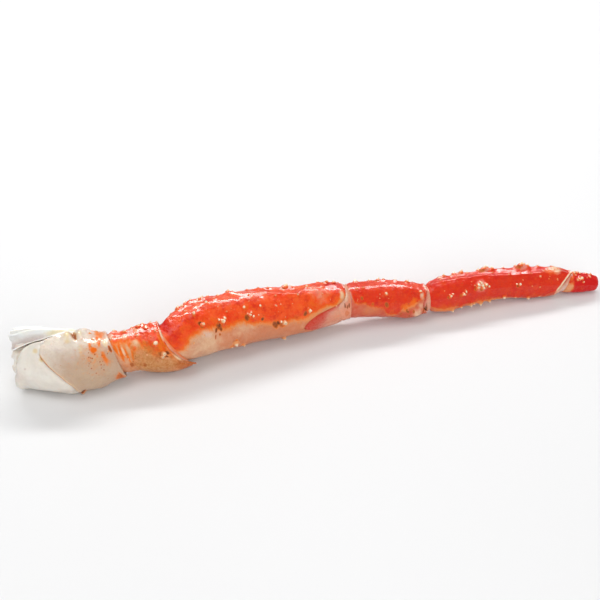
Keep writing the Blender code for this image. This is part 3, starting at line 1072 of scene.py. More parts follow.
    def build(self, material: Material) -> Piece:
        """Makes the shell and dresses it.

        Args:
            material: Its material.

        Returns:
            The shell.
        """
        angle = np.arange(self.spokes) * 360 / self.spokes
        rows = self.rings(angle)
        station = np.array([row[0] for row in rows])
        radius = np.array([row[1] for row in rows])
        strength = np.array([row[2] for row in rows])[:, None]
        angles = np.broadcast_to(angle, station.shape)
        full = radius + strength * self.relief(station, angles, radius)
        skin = Skin()
        skin.tube(LEG.place(station, angles, full), self.tints(station, angles, radius))
        return dress(skin.piece(f"{self.name}_shell", material), self.slot, self.name)

    def outside(self, station: Array, angle: Array) -> Array:
        """The radius of the shell's outside, with its relief.

        Args:
            station: The points' stations.
            angle: Their angles.

        Returns:
            The radii.
        """
        station, angle = np.broadcast_arrays(np.asarray(station, float), np.asarray(angle, float))
        radius = LEG.girth(self.name, station, angle)
        return radius + self.relief(station, angle, radius)


@dataclass(frozen=True)
class Toe(Limb):
    """The last segment, which closes in a blunt toe."""

    tip_start: float = 2.5 * MM  # before the segment's end
    tip_depth: float = 3.5 * MM

    def rings(self, angle: Array) -> list[tuple]:
        """The shell's rings, from the pole in the joint behind to the toe's tip.

        Args:
            angle: The spokes' angles.

        Returns:
            The rings, in the form of a limb's.
        """
        base = LEG.joint(self.name) + self.neck
        tip = LEG.joint(self.name) + LEG.segment(self.name).length
        rows = self.dome(angle)
        shoulder = tip - self.tip_start
        for at in np.linspace(base, shoulder, int((shoulder - base) / self.step)):
            rows.append((at + 0 * angle, LEG.girth(self.name, at, angle), 1.0))
        end = LEG.girth(self.name, shoulder, angle)
        for turn in np.linspace(0, math.pi / 2, 9)[1:-1]:
            rows.append((shoulder + self.tip_depth * math.sin(turn) + 0 * angle,
                         end * math.cos(turn) ** 0.8, 0.6))
        return rows


# ---------------- the shoulder


@dataclass(frozen=True)
class Coxa(Limb):
    """The shoulder's stiff shell: an open cup round the meat, with a raised lip along its slanting edge."""

    seam: tuple = ((-150, 40), (-105, 31), (-60, 42), (-15, 50), (8, 43), (20, 31), (30, 25.2), (45, 24.4),
                   (56, 24.6), (69, 27.4), (81, 30.4), (96, 34.1), (112, 37.5), (133, 41.5), (156, 44.2),
                   (182, 45.5))  # (angle, millimetres) of the near edge
    hollow_end: float = 58 * MM  # the station where the hollow for the meat ends
    thicker: float = 6.0 * MM  # how much thicker its wall is there than at the near edge
    lip: tuple = ((-180, 0.4), (-60, 0.2), (20, 0), (50, 0.05), (62, 0.5), (80, 0.8), (110, 0.9),
                  (140, 1.1), (160, 1.2), (175, 0.5))  # (angle, millimetres that it stands up)

    def near(self, angle: Array) -> Array:
        """The station of the slanting near edge."""
        return curve(self.seam, angle, period=360) * MM

    def lip_height(self, angle: Array) -> Array:
        """How far the near edge's lip stands up, in millimetres."""
        return np.maximum(curve(self.lip, angle, period=360), 0)

    def relief(self, station: Array, angle: Array, radius: Array) -> Array:
        """What the shell's bulges, pits and lips add to its radius.

        Args:
            station: The points' stations.
            angle: Their angles.
            radius: Their radii before any relief.

        Returns:
            The heights, below 0 in a pit.
        """
        past = (station - self.near(angle)) / MM
        lip = self.lip_height(angle) * MM
        raised = 1.25 * hump(past, 0.7, 1.15) - 0.45 * hump(past, 4.2, 2.2)
        return super().relief(station, angle, radius) + lip * raised

    def tints(self, station: Array, angle: Array, radius: Array) -> dict[Tint, Array]:
        """The shell's colours, with its lip's edge brown, partly a stain and partly painted shade in the
        crevice at the seam, and painted shade on its front and lower sides.

        Args:
            station: The points' stations.
            angle: Their angles.
            radius: Their radii before any relief.

        Returns:
            A value of each tint at every point.
        """
        value = super().tints(station, angle, radius)
        past = (station - self.near(angle)) / MM
        lip = self.lip_height(angle)
        at_least(value, Tint.BARE, np.clip(lip, 0, 0.45) * eased(2.0, 0.6, past))
        at_least(value, Tint.ORANGE, np.clip(lip, 0, 0.6) * eased(1.0, 0.0, past))
        # the lip's edge brown: partly a stain line, partly painted shade in the crevice at the seam
        at_least(value, Tint.BROWN, np.clip(lip, 0, 0.62) * eased(-0.2, -0.9, past))
        # painted shade: the front, lower and rear-lower sides darker and warmer
        turn = turn_from(angle, 0)
        side = eased(20, 85, turn) + eased(-165, -180, turn) + 0.45 * eased(-60, -110, turn)
        at_least(value, Tint.SHADE, 1.05 * side * eased(22, 42, station / MM))
        at_least(value, Tint.SHADE, 0.35 * hump(angle, 74, 6) * hump(station / MM, 46, 9))
        return value

    def rings(self, angle: Array) -> list[tuple]:
        """The shell's rings: its hollow for the meat, its near lip, its outside and its far cup.

        Args:
            angle: The spokes' angles.

        Returns:
            The rings, in the form of a limb's.
        """
        near, edge = self.near(angle), self.edge(angle)
        wall = (0.3 + 1.8 * np.clip(self.lip_height(angle), 0, 0.5)) * MM

        def girth(at: Array) -> Array:
            """The shell's radius at stations."""
            return LEG.girth(self.name, at, angle)

        deep = self.hollow_end
        rows = [(deep + 0 * angle, girth(deep + 0 * angle) * 0.45, 0.0)]
        for share in np.linspace(0, 1, 9)[:-1]:
            at = deep + (near - deep) * share
            rows.append((at, girth(at) - wall - self.thicker * (1 - share), 0.5 * share))
        half = wall / 2
        for turn in ROLL[::-1]:
            rows.append((near - 0.8 * half * math.sin(turn), girth(near) - half + half * math.cos(turn), 1.0))
        count = int(np.max(edge - near) / self.step) + 2
        for share in np.linspace(0, 1, count)[1:]:
            at = near + (edge - near) * share
            rows.append((at, girth(at), 1.0))
        rows += self.rolled(edge, angle)
        for share in (0.3, 0.7, 1.0):
            at = edge - self.cup_depth * share
            rows.append((at, girth(at) - LEG.segment(self.name).shell - 0.5 * MM, 1.0 - share))
        rows.append((at, rows[-1][1] * 0.5, 0.0))
        return rows


@dataclass(frozen=True)
class Shoulder:
    """The torn end: the meat, the wedge-shaped plate under the coxa's lip, and the flap with its folds."""

    coxa: Coxa
    plate_torn: tuple = ((28, 26.5), (33, 22), (39, 16.8), (48, 12.2), (65, 9.8), (80, 8.6), (100, 7.6),
                         (125, 5.6), (144, 4.2), (156, 5.4), (175, 7.5), (212, 8))  # (degrees, millimetres)
    plate_size: tuple = (100, 240)  # rows, columns
    plate_span: tuple = (212, 28)  # degrees
    plate_gold: tuple = ((21.6, 51, 2.2, 0.75), (26, 66, 2.4, 0.85), (16, 45, 2, 0.35), (13, 135, 4, 0.25))
    plate_lilac: tuple = ((15.7, 90, 1.1, 0.8), (10, 110, 8, 0.5))  # as the arguments of patch
    flap_low: tuple = ((0, 59), (5, 55), (10.7, 45), (17, 34.5), (21, 29), (25, 24.5), (28, 19.5),
                       (33, 15.5), (39, 12.5))  # (millimetres, degrees) of its low edge
    flap_folds: tuple = ((0, -0.4), (0.06, 0.4), (0.15, -0.2), (0.27, 0.6), (0.35, -0.4), (0.4, 0.4),
                         (0.5, 0), (0.58, 0.9), (0.64, 0.2), (0.69, 0.9), (0.73, -0.3), (0.775, 1.2),
                         (0.805, 1.6), (0.835, 0.2), (0.865, -2), (0.91, -2.7), (0.95, -1.8), (0.985, -0.2),
                         (1, 0))  # (share from its far edge to the slit, millimetres)
    flap_torn: tuple = ((0, 2.5), (0.3, 3), (0.55, 0.2), (0.66, 0.4), (0.72, -0.6), (0.79, 1.4),
                        (0.85, 3.2), (0.93, 2.6), (1, 4.4))  # (share across, millimetres)
    flap_size: tuple = (84, 150)  # rows, columns
    flap_start: float = -96.0  # degrees
    flap_root: float = 12.5  # degrees, where its low edge meets the coxa
    flap_end: float = 47 * MM  # the furthest station of its root
    # each leaf's first and last share across, and the millimetres that it is sunk and torn back
    flap_leaves: tuple = ((0, 1, 0, 0), (0.3, 0.97, 2.3, 1), (0.52, 0.84, 1.1, -1.2))
    core_share: float = 0.80  # the meat's radius, over the coxa's
    meat_size: tuple = (34, 42, 240)  # rings in its rounded end, rings behind that, spokes
    meat_start: float = 8.5 * MM  # the station behind its rounded end
    meat_bulge: float = 6.0 * MM  # how far the rounded end stands out
    meat_end: float = 48 * MM

    def plate(self, material: Material) -> Piece:
        """Makes the plate, from its torn end to just under the coxa's lip.

        Args:
            material: Its material.

        Returns:
            The plate.
        """
        rows, columns = self.plate_size
        angle = np.linspace(*self.plate_span, columns)[None, :] + np.zeros((rows, 1))
        share = np.linspace(0, 1, rows)[:, None] ** 1.25
        grain = Grain(17)
        ragged = 0.45 * MM * grain.layers(np.stack([angle[0] * 0.4 * MM] * 3, axis=-1), 5 * MM)
        torn = curve(self.plate_torn, angle) * MM + ragged
        station = torn + (self.coxa.near(angle) + 1.6 * MM - torn) * share
        girth = LEG.girth("coxa", station, angle)
        past = (station - self.coxa.near(angle)) / MM
        lip = self.coxa.lip_height(angle)
        tucked = 0.10 + 1.3 * lip * hump(past, 0, 2.6) + 0.9 * np.minimum(lip, 0.5) * eased(-2.6, -0.4, past)
        curled = np.clip(1 - (station - torn) / (2.6 * MM), 0, 1)
        swell = 1.0 * MM * hump(station - torn, 3.2 * MM, 2.6 * MM)
        hung = self.coxa.unrolled(station, angle, girth)
        outer = girth + Limb.relief(self.coxa, station, angle, girth) - tucked * MM + swell
        outer -= 2.6 * MM * curled**2.2
        outer += 0.30 * MM * grain.layers(hung * (1.0, 0.6, 0.6), 7 * MM)
        inner = outer - (0.45 + 0.75 * (1 - curled)) * MM
        tints = {
            Tint.GOLD: sum(self.patch(station, angle, *spot) for spot in self.plate_gold),
            Tint.LILAC: sum(self.patch(station, angle, *spot) for spot in self.plate_lilac),
            # brown where the plate runs under the coxa's lip: partly a stain line, partly painted shade in
            # that crevice
            Tint.BROWN: 0.85 * np.clip(lip, 0, 0.8) * eased(-1.9, -0.3, past)
            + 0.10 * lip * hump(past, -3, 3),
            # painted shade: the plate's lower side darker and warmer
            Tint.SHADE: 0.42 * eased(110, 165, angle) * eased(12, 34, station / MM),
        }
        skin = Skin()
        skin.leaf(LEG.place(station, angle, outer), LEG.place(station, angle, inner), tints)
        return dress(skin.piece("shoulder_plate_shell", material), "white_shell", "shoulder_plate")

    @staticmethod
    def patch(station: Array, angle: Array, at: float, turned: float, width: float,
              strength: float) -> Array:
        """A round patch of a tint: its place in millimetres and degrees, its radius and its strength."""
        around = np.radians(turn_from(angle, turned)) * COXA_RADIUS
        return strength * eased(1.3, 0.2, np.hypot(station / MM - at, around) / width)

    def flap(self, material: Material) -> Piece:
        """Makes the flap: a top leaf with folds that run together at its root, and ragged leaves under it.

        Args:
            material: Its material.

        Returns:
            The flap.
        """
        skin = Skin()
        rows, columns = self.flap_size
        grain = Grain(29)
        for layer, (first, last, sunk, torn_back) in enumerate(self.flap_leaves):
            across = np.linspace(first, last, columns)[None, :] + np.zeros((rows, 1))
            share = np.linspace(0, 1, rows)[:, None] ** 1.15
            wander = np.stack([across[0] * 40 * MM] * 3, axis=-1)
            ragged = 1.5 * grain.layers(wander + layer, 5 * MM) + 0.8 * grain.layers(wander + 3, 1.3 * MM)
            ragged *= 0.75 if layer == 0 else 1.0
            torn = (curve(self.flap_torn, across) + ragged + torn_back) * MM
            root_angle = self.flap_start + (self.flap_root - self.flap_start) * across
            root = np.minimum(self.coxa.near(root_angle) + 1.5 * MM, self.flap_end)
            station = torn + (root - torn) * share
            low = curve(self.flap_low, station / MM)
            angle = self.flap_start + (low - self.flap_start) * across
            spread = 1 - 0.75 * eased(12 * MM, 42 * MM, station)
            hung = np.stack([station * 0.22, across * 42 * MM, across * 0 + layer * 0.05], axis=-1)
            pleats = 0.85 * MM * grain.layers(hung, 4.6 * MM, 2)
            pleats += 0.22 * MM * grain.layers(hung * (1, 2.4, 1), 2 * MM)
            outer = LEG.girth("coxa", station, angle) - 0.55 * MM + pleats * (0.35 + 0.65 * spread)
            outer += 1.7 * curve(self.flap_folds, across) * MM * spread
            outer -= (sunk + 0.7 * eased(0.93, 1.0, share)) * MM
            thick = (0.25 + 0.40 * eased(0, 3 * MM, station - torn)) * MM
            # painted shade: the hollow of the low fold is lilac-grey and darker
            hollow = eased(0.815, 0.87, across) * eased(0.995, 0.965, across)
            tints = {
                Tint.LILAC: 0.9 * hollow * eased(30, 20, station / MM) + 0.35 * hump(across, 0.73, 0.02),
                Tint.GOLD: 0.75 * hump(across, 0.845, 0.03) * eased(18, 30, station / MM)
                + 0.25 * hump(across, 0.70, 0.015) * eased(22, 8, station / MM),
                Tint.SHADE: 0.25 * hollow * eased(34, 20, station / MM),
            }
            skin.leaf(LEG.place(station, angle, outer), LEG.place(station, angle, outer - thick), tints)
        return dress(skin.piece("shoulder_flap_skin", material), "white_skin", "shoulder_flap")

    def meat(self, material: Material) -> Piece:
        """Makes the meat: bundles of fibres that bulge at the torn end and fill the shoulder.

        Args:
            material: Its material.

        Returns:
            The meat.
        """
        rounded, straight, spokes = self.meat_size
        angle = np.arange(spokes) * 360 / spokes
        grain = Grain(53)
        rows = []
        for share in np.linspace(0.04, 1, rounded):
            turn = share * math.pi / 2
            rows.append((self.meat_start - self.meat_bulge * math.cos(turn),
                         LEG.girth("coxa", self.meat_start, angle) * self.core_share * math.sin(turn) ** 0.9))
        rows += [(at, LEG.girth("coxa", at, angle) * self.core_share)
                 for at in np.linspace(self.meat_start + 0.5 * MM, self.meat_end, straight)]
        station, radius = (np.array([row[k] + 0 * angle for row in rows]) for k in range(2))
        angles = np.broadcast_to(angle, station.shape)
        turn = np.radians(angles)
        hung = np.stack([station * 0.15, radius * np.cos(turn), radius * np.sin(turn)], axis=-1)
        bundles = np.abs(grain.layers(hung, 6.5 * MM, 1))
        strands = grain.layers(hung, 1.7 * MM, 2)
        end = 1 - eased(7 * MM, 17 * MM, station)
        groove = eased(0.28, 0.0, bundles)
        pit = 7 * hump(turn_from(angles, 31), 0, 11) * hump(station, 22 * MM, 6 * MM)
        full = radius + (0.35 * strands - 1.0 * groove * (0.35 + 0.65 * end) - pit) * MM
        station = station + end * (2.0 * bundles + 0.7 * strands - 1.8 * groove - 0.8) * MM
        tints = {Tint.CRIMSON: 0.20 * eased(0.35, 0.05, bundles), Tint.GOLD: 0.25 * eased(0.5, 0.9, bundles)}
        skin = Skin()
        skin.tube(LEG.place(station, angles, full), tints)
        return dress(skin.piece("shoulder_meat_bundles", material), "flesh", "shoulder_meat")


# ---------------- the joints' soft skin


@dataclass(frozen=True)
class Membrane:
    """The soft skin between a segment's rim and the neck of the segment ahead of it."""

    behind: Limb
    ahead: Limb
    reach: float = 2.8 * MM  # past the joint, over the neck of the segment ahead
    rear: float = 12 * MM  # how far behind the rim it starts
    sunk: float = 0.5 * MM  # below the shell's outside
    crimson: tuple = ((-180, 0.2), (0, 0.3))  # (angle, how red it is by the rim)
    pale: tuple = ((-180, 0.6), (0, 0.6))  # (angle, how pale it is by the neck)
    fade: float = 1.0  # the share of its free length over which the red fades
    bare: float = 0.4  # how cream it is along the rim
    warm: float = 0.3  # how orange it is by the segment ahead
    lip: tuple = ()  # (angle, millimetres past the joint behind) of a fold that runs round it
    marks: tuple = ()  # placed from the joint behind
    spokes: int = 200
    rows: int = 56

    def build(self, material: Material) -> Piece:
        """Makes the skin and dresses it.

        Args:
            material: Its material.

        Returns:
            The skin.
        """
        angle = np.arange(self.spokes) * 360 / self.spokes
        edge = self.behind.edge(angle)
        end = LEG.joint(self.ahead.name) + self.reach
        start = np.minimum(edge, end) - self.rear
        shell = LEG.segment(self.behind.name).shell
        free_length = np.maximum(end - edge, 1.5 * MM)
        hem = self.ahead.outside(end + 0 * angle, angle) + 0.25 * MM
        rows = [(start, (LEG.girth(self.behind.name, start, angle) - 2 * shell) * share, 0)
                for share in (0.2, 0.6, 0.9)]
        for share in np.linspace(0, 1, self.rows):
            at = start + (end - start) * share
            shown = eased(-0.5 * MM, 1.2 * MM, at - edge)
            free = np.clip((at - edge) / free_length, 0, 1)
            outer = self.behind.outside(np.minimum(at, edge), angle) - self.sunk
            hidden = LEG.girth(self.behind.name, at, angle) - 1.6 * shell
            blend = eased(0, 1, free)
            skin = np.minimum(outer, outer * (1 - blend) + hem * blend)
            rows.append((at, hidden * (1 - shown) + skin * shown, free))
        rows += [(end - back * MM, hem - drop * MM, 1) for back, drop in ((0.3, 0.9), (2.0, 1.8), (4.0, 4.0))]
        station, radius, free = (np.array([row[k] + 0 * angle for row in rows]) for k in range(3))
        skin = Skin()
        self.dress_up(station, radius, free, np.broadcast_to(angle, station.shape), skin)
        name = f"membrane_{self.behind.name}_{self.ahead.name}"
        return dress(skin.piece(f"{name}_skin", material), "membrane", name)

    def dress_up(self, station: Array, radius: Array, free: Array, angle: Array,
                 skin: Skin) -> None:
        """Adds the tube to a skin, with its puckers, its fold, its marks and its tints.

        Args:
            station: The stations of its rings.
            radius: Their radii before any relief.
            free: 0 where it leaves the rim, 1 where it meets the segment ahead.
            angle: The angles of its points.
            skin: The skin that it is added to.
        """
        grain = Grain(7)
        hung = self.behind.unrolled(station, angle, radius)
        shown = eased(0.0, 0.15, free)
        raised = 0.22 * grain.layers(hung * (0.45, 1, 1), 3.0 * MM) + 0.10 * grain.layers(hung, 1.2 * MM)
        along = (station - LEG.joint(self.behind.name)) / MM
        turned = turn_from(angle, 0)
        rear = eased(-15, -50, turned) * eased(-178, -150, turned)
        crimson = curve(self.crimson, angle, period=360) * eased(self.fade + 1.5 * rear, 0.0, free)
        pale = curve(self.pale, angle, period=360) * eased(0.2, 0.9, free)
        if self.lip:
            past = along - curve(self.lip, angle, period=360)
            raised += 0.75 * eased(-1.0, 0.5, past)
            crimson = crimson * eased(0.8, -0.8, past)
            pale = np.maximum(pale, 0.3 * (1 - rear) * eased(-0.8, 0.6, past))
        value = {Tint.CRIMSON: crimson, Tint.LILAC: pale, Tint.BARE: self.bare * eased(0.12, 0.0, free),
                 Tint.BROWN: 0 * free, Tint.ORANGE: self.warm * eased(0.1, 0.8, free), Tint.GOLD: 0 * free}
        for mark in self.marks:
            share = self.behind.spot_shares(mark, station, angle, radius, 0.2 * grain.layers(hung, 2 * MM, 2))
            raised += mark.height * hump(share, 0, 1)
            for tint, strength in mark.tints:
                at_least(value, tint, strength * eased(1.3, 0.4, share))
        skin.tube(LEG.place(station, angle, radius + raised * shown * MM), value)


# ---------------- spines


class SpineField:
    """The spines of one kind over the whole leg, grown from their roots by Geometry Nodes."""

    SHAPES = {  # height over width, tip's share of the width, flare of the root, hollow of the tip, bend
        Growth.PEARL: (0.46, 0.50, 0.45, 0.0, 0.0),
        Growth.THORN: (0.66, 0.30, 0.40, 0.0, 0.15),
        Growth.STUMP: (0.72, 0.52, 0.45, 0.5, 0.10),
        Growth.HOOK: (2.30, 0.22, 0.50, 0.0, -0.35),
    }
    TILTS = {Growth.PEARL: 0.05, Growth.THORN: 0.32, Growth.STUMP: 0.32, Growth.HOOK: 1.6}  # towards the toe
    UNEVEN = 0.18  # how far each spine points aside
    INPUTS = {"Geometry": "Geometry", "Height": "Float", "Sunk": "Float", "Tip": "Float", "Flare": "Float",
              "Hollow": "Float", "Bend": "Float", "Roughness": "Float", "Seed": "Int",
              "Material": "Material"}  # the tree's inputs, with their kinds

    def __init__(self, growth: Growth, limbs: list[Limb]) -> None:
        """Gathers the spines of a kind from the limbs."""
        self.growth = growth
        self.limbs = limbs

    def roots(self) -> Piece:
        """The spines' roots, each with its aim, its width, and the shell's red there.

        Returns:
            An object of points.
        """
        rows = []
        rng = np.random.default_rng(11)
        for limb in self.limbs:
            for spine in limb.spines:
                if spine.growth is not self.growth:
                    continue
                station = LEG.joint(limb.name) + spine.at * MM
                radius = float(limb.outside(station, spine.angle))
                root = LEG.place(station, spine.angle, radius - SPINE_SUNK * spine.size * MM)
                out = root - LEG.place(station, spine.angle, 0.4 * radius)
                beyond, short = (LEG.place(station + step, spine.angle, radius) for step in (MM, -MM))
                ahead = beyond - short
                tilt = self.TILTS[spine.growth]
                aim = out / np.linalg.norm(out) + tilt * ahead / np.linalg.norm(ahead)
                aim += rng.uniform(-self.UNEVEN, self.UNEVEN, 3)
                girth = LEG.girth(limb.name, np.array(station), np.array(spine.angle))
                tints = limb.tints(np.array([station]), np.array([spine.angle]), np.array([girth]))
                rows.append((root, aim, spine.size * MM, tints[Tint.RED][0]))
        places, aims, sizes, reds = (np.array(values) for values in zip(*rows))
        mesh = bpy.data.meshes.new(self.growth.value)
        mesh.from_pydata(places.tolist(), [], [])
        for name, kind, key, values in (("aim", "FLOAT_VECTOR", "vector", aims),
                                        ("size", "FLOAT", "value", sizes),
                                        (Tint.RED.value, "FLOAT", "value", reds)):
            stored = mesh.attributes.new(name, kind, "POINT")
            stored.data.foreach_set(key, values.astype(np.float32).ravel())
        piece = bpy.data.objects.new(self.growth.value, mesh)
        bpy.context.scene.collection.objects.link(piece)
        return piece

    def tree(self) -> bpy.types.NodeTree:
        """The tree that grows a spine of unit width on every root.

        Returns:
            The tree.
        """
        tree = bpy.data.node_groups.new(f"grow_{self.growth.value}", "GeometryNodeTree")
        for name, kind in self.INPUTS.items():
            tree.interface.new_socket(name, in_out="INPUT", socket_type=f"NodeSocket{kind}")
        tree.interface.new_socket("Geometry", in_out="OUTPUT", socket_type="NodeSocketGeometry")
        g = Graph(tree)
        given = tree.nodes.new("NodeGroupInput")
        wires = {socket.name: Wire(g, socket) for socket in given.outputs if socket.name}
        cone = g.node("GeometryNodeMeshCone", {"fill_type": "TRIANGLE_FAN"},
                      {"Vertices": 14, "Side Segments": 9, "Fill Segments": 3, "Radius Bottom": 0.5,
                       "Radius Top": wires["Tip"] * 0.5, "Depth": wires["Height"]}, output="Mesh")
        spot = g.node("GeometryNodeInputPosition")
        parts = g.node("ShaderNodeSeparateXYZ", inputs={0: spot}).socket.node
        x, y, z = (Wire(g, parts.outputs[k]) for k in range(3))
        up = z / wires["Height"]
        shown = (z - wires["Sunk"]) / (wires["Height"] - wires["Sunk"])
        away = (x * x + y * y) ** 0.5
        flare = (1 + wires["Flare"] * (1 - up) ** 3) * (1 + up * (1 - up))
        roomy = g.maths("MAXIMUM", 1 - (away / (wires["Tip"] * 0.34)) ** 2, 0.0)
        top = up.rise(0.97, 1.0)
        rounded = top * wires["Tip"] * 0.42 * (1 - (away / (wires["Tip"] * 0.5)) ** 2)
        sunk = top * roomy * wires["Hollow"]
        bend = wires["Bend"] * up * up
        spread = g.node("ShaderNodeCombineXYZ", inputs={0: x * flare + bend, 1: y * flare,
                                                        2: z + rounded - sunk})
        moved = g.node("GeometryNodeSetPosition", inputs={"Geometry": cone, "Position": spread})
        for name, value in (("tip", shown), ("hollow", top * roomy * wires["Hollow"] * 2)):
            moved = g.node("GeometryNodeStoreNamedAttribute", {"data_type": "FLOAT", "domain": "POINT"},
                           {"Geometry": moved, "Name": name, "Value": value})
        aim = g.node("GeometryNodeInputNamedAttribute", {"data_type": "FLOAT_VECTOR"}, {"Name": "aim"})
        size = g.node("GeometryNodeInputNamedAttribute", {"data_type": "FLOAT"}, {"Name": "size"})
        turn = g.node("FunctionNodeAlignRotationToVector", {"axis": "Z"}, {"Vector": aim})
        spin = g.node("FunctionNodeRandomValue", {"data_type": "FLOAT"}, {"Min": -0.5, "Max": 0.5,
                                                                         "Seed": wires["Seed"]}, output=1)
        twist = g.node("FunctionNodeAxisAngleToRotation", inputs={"Axis": (0, 0, 1), "Angle": spin})
        turn = g.node("FunctionNodeRotateRotation", {"rotation_space": "LOCAL"},
                      {"Rotation": turn, "Rotate By": twist})
        uneven = g.node("FunctionNodeRandomValue", {"data_type": "FLOAT_VECTOR"},
                        {"Min": (0.75, 0.75, 0.70), "Max": (1.15, 1.15, 1.25), "Seed": wires["Seed"] + 1.0})
        grown = g.node("GeometryNodeInstanceOnPoints", inputs={"Points": wires["Geometry"], "Instance": moved,
                                                               "Rotation": turn,
                                                               "Scale": g.vector("SCALE", uneven, size)})
        real = g.node("GeometryNodeRealizeInstances", inputs={"Geometry": grown})
        noise = g.node("ShaderNodeTexNoise", {"noise_dimensions": "4D"},
                       {"Vector": g.node("GeometryNodeInputPosition"), "W": wires["Seed"] * 1.7,
                        "Scale": 1 / (1.3 * MM), "Detail": 2.0}, output="Color")
        rough = g.vector("SCALE", g.vector("SUBTRACT", noise, (0.5, 0.5, 0.5)), wires["Roughness"])
        real = g.node("GeometryNodeSetPosition", inputs={"Geometry": real, "Offset": rough})
        soft = g.node("GeometryNodeSetShadeSmooth", inputs={"Geometry": real})
        done = g.node("GeometryNodeSetMaterial", inputs={"Geometry": soft, "Material": wires["Material"]})
        g.node("NodeGroupOutput", inputs={"Geometry": done})
        return tree

    def build(self, material: Material) -> Piece:
        """Grows the spines, and turns them into one plain mesh.

        Args:
            material: Its material.

        Returns:
            The spines.
        """
        height, tip, flare, hollow, bend = self.SHAPES[self.growth]
        values = {"Height": height, "Sunk": SPINE_SUNK, "Tip": tip, "Flare": flare, "Hollow": hollow,
                  "Bend": bend, "Roughness": 0.9 * MM, "Seed": 5, "Material": material}
        piece = grow(self.roots(), self.tree(), values)
        piece.data.materials.clear()
        piece.data.materials.append(material)
        return dress(piece, "ivory_shell")


def grow(piece: Piece, tree: bpy.types.NodeTree, values: dict) -> Piece:
    """Runs a Geometry Nodes tree on an object, and keeps its result as the object's own plain mesh.

    Args:
        piece: The object whose mesh the tree starts from.
        tree: The tree.
        values: The tree's inputs by name.

    Returns:
        The same object.
    """
    modifier = piece.modifiers.new("growth", "NODES")
    modifier.node_group = tree
    sockets = {item.name: item.identifier for item in tree.interface.items_tree if item.in_out == "INPUT"}
    for name, value in values.items():
        modifier[sockets[name]] = value
    bpy.context.view_layer.update()
    evaluated = piece.evaluated_get(bpy.context.evaluated_depsgraph_get())
    mesh = bpy.data.meshes.new_from_object(evaluated)
    piece.modifiers.remove(modifier)
    old, piece.data = piece.data, mesh
    bpy.data.meshes.remove(old)
    mesh.name = piece.name
    return piece


@dataclass(frozen=True)
class SpineFinish:
    """A spine: the shell's red at its root, ivory towards its tip, and brown in its hollow."""

    name: str

    def paint(self) -> Material:
        """Builds the material.

        Returns:
            The material.
        """
        g = Paint(self.name)
        fine = g.cloud(1.0 * MM, detail=2)
        tip, hollow, size = (g.value(name) for name in ("tip", "hollow", "size"))
        tip = tip + fine * 0.12
        grown = size.rise(1.3 * MM, 2.4 * MM)
        base = g.layered(
            g.mix(g.tint(Tint.RED).rise(0.2, 0.7), Palette.PEACH.value,
                  g.between(fine.rise(-0.6, 0.6), Palette.RED, Palette.ORANGE)),
            (tip.rise(-0.05, 0.45) * (grown * 0.6 + 0.4), Palette.PEACH),
            (tip.rise(0.15, 0.85) * (grown * 0.65 + 0.15), Palette.CREAM),
            (tip.rise(0.8, 1.3) * grown * 0.35, Palette.WHITE),
            ((hollow + fine * 0.1).rise(0.2, 0.7), Palette.BROWN),
        )
        return g.finish({
            "Base Color": base,
            "Roughness": 0.36,
            "Normal": g.bump(fine, 0.10 * MM, 0.6),
            "Specular IOR Level": 0.3,
            "Coat Weight": 0.4,
            "Coat Roughness": 0.10,
            "Subsurface Weight": 0.15,
            "Subsurface Radius": (1.0, 0.5, 0.3),
            "Subsurface Scale": 1.5 * MM,
        })


# ---------------- the leg's own marks


def mark(at: float, angle: float, width: float, height: float = 0.0, stretch: float = 1.0, slant: float = 0.0,
         **tints: float) -> Mark:
    """A mark from its place and sizes, as in Mark, and its tints' strengths by their names."""
    pairs = tuple((Tint(name), strength) for name, strength in tints.items())
    return Mark(at, angle, width, height, pairs, stretch, slant)


def sprout(growth: Growth, *roots: tuple) -> tuple:
    """Spines of one kind, from rows of a place, an angle and a size."""
    return tuple(Spine(growth, *root) for root in roots)


def pimples(seed: int, count: int, span: tuple, reach: tuple = (-120, 100)) -> tuple:
    """Small pearls strewn over a segment's red side.

    Args:
        seed: Sets where they lie.
        count: How many there are.
        span: The millimetres from the joint behind that they lie between.
        reach: The angles that they lie between.

    Returns:
        The pearls.
    """
    rng = np.random.default_rng(seed)
    rows = zip(rng.uniform(*span, count), rng.uniform(*reach, count), rng.uniform(0.9, 1.7, count))
    return tuple(Spine(Growth.PEARL, float(at), float(angle), float(size)) for at, angle, size in rows)


FRONT_RIDGE = Crest(((0, 80), (132, 78)), 0.35 * MM, 10)
REAR_RIDGE = Crest(((0, -84), (132, -80)), 0.45 * MM, 9)

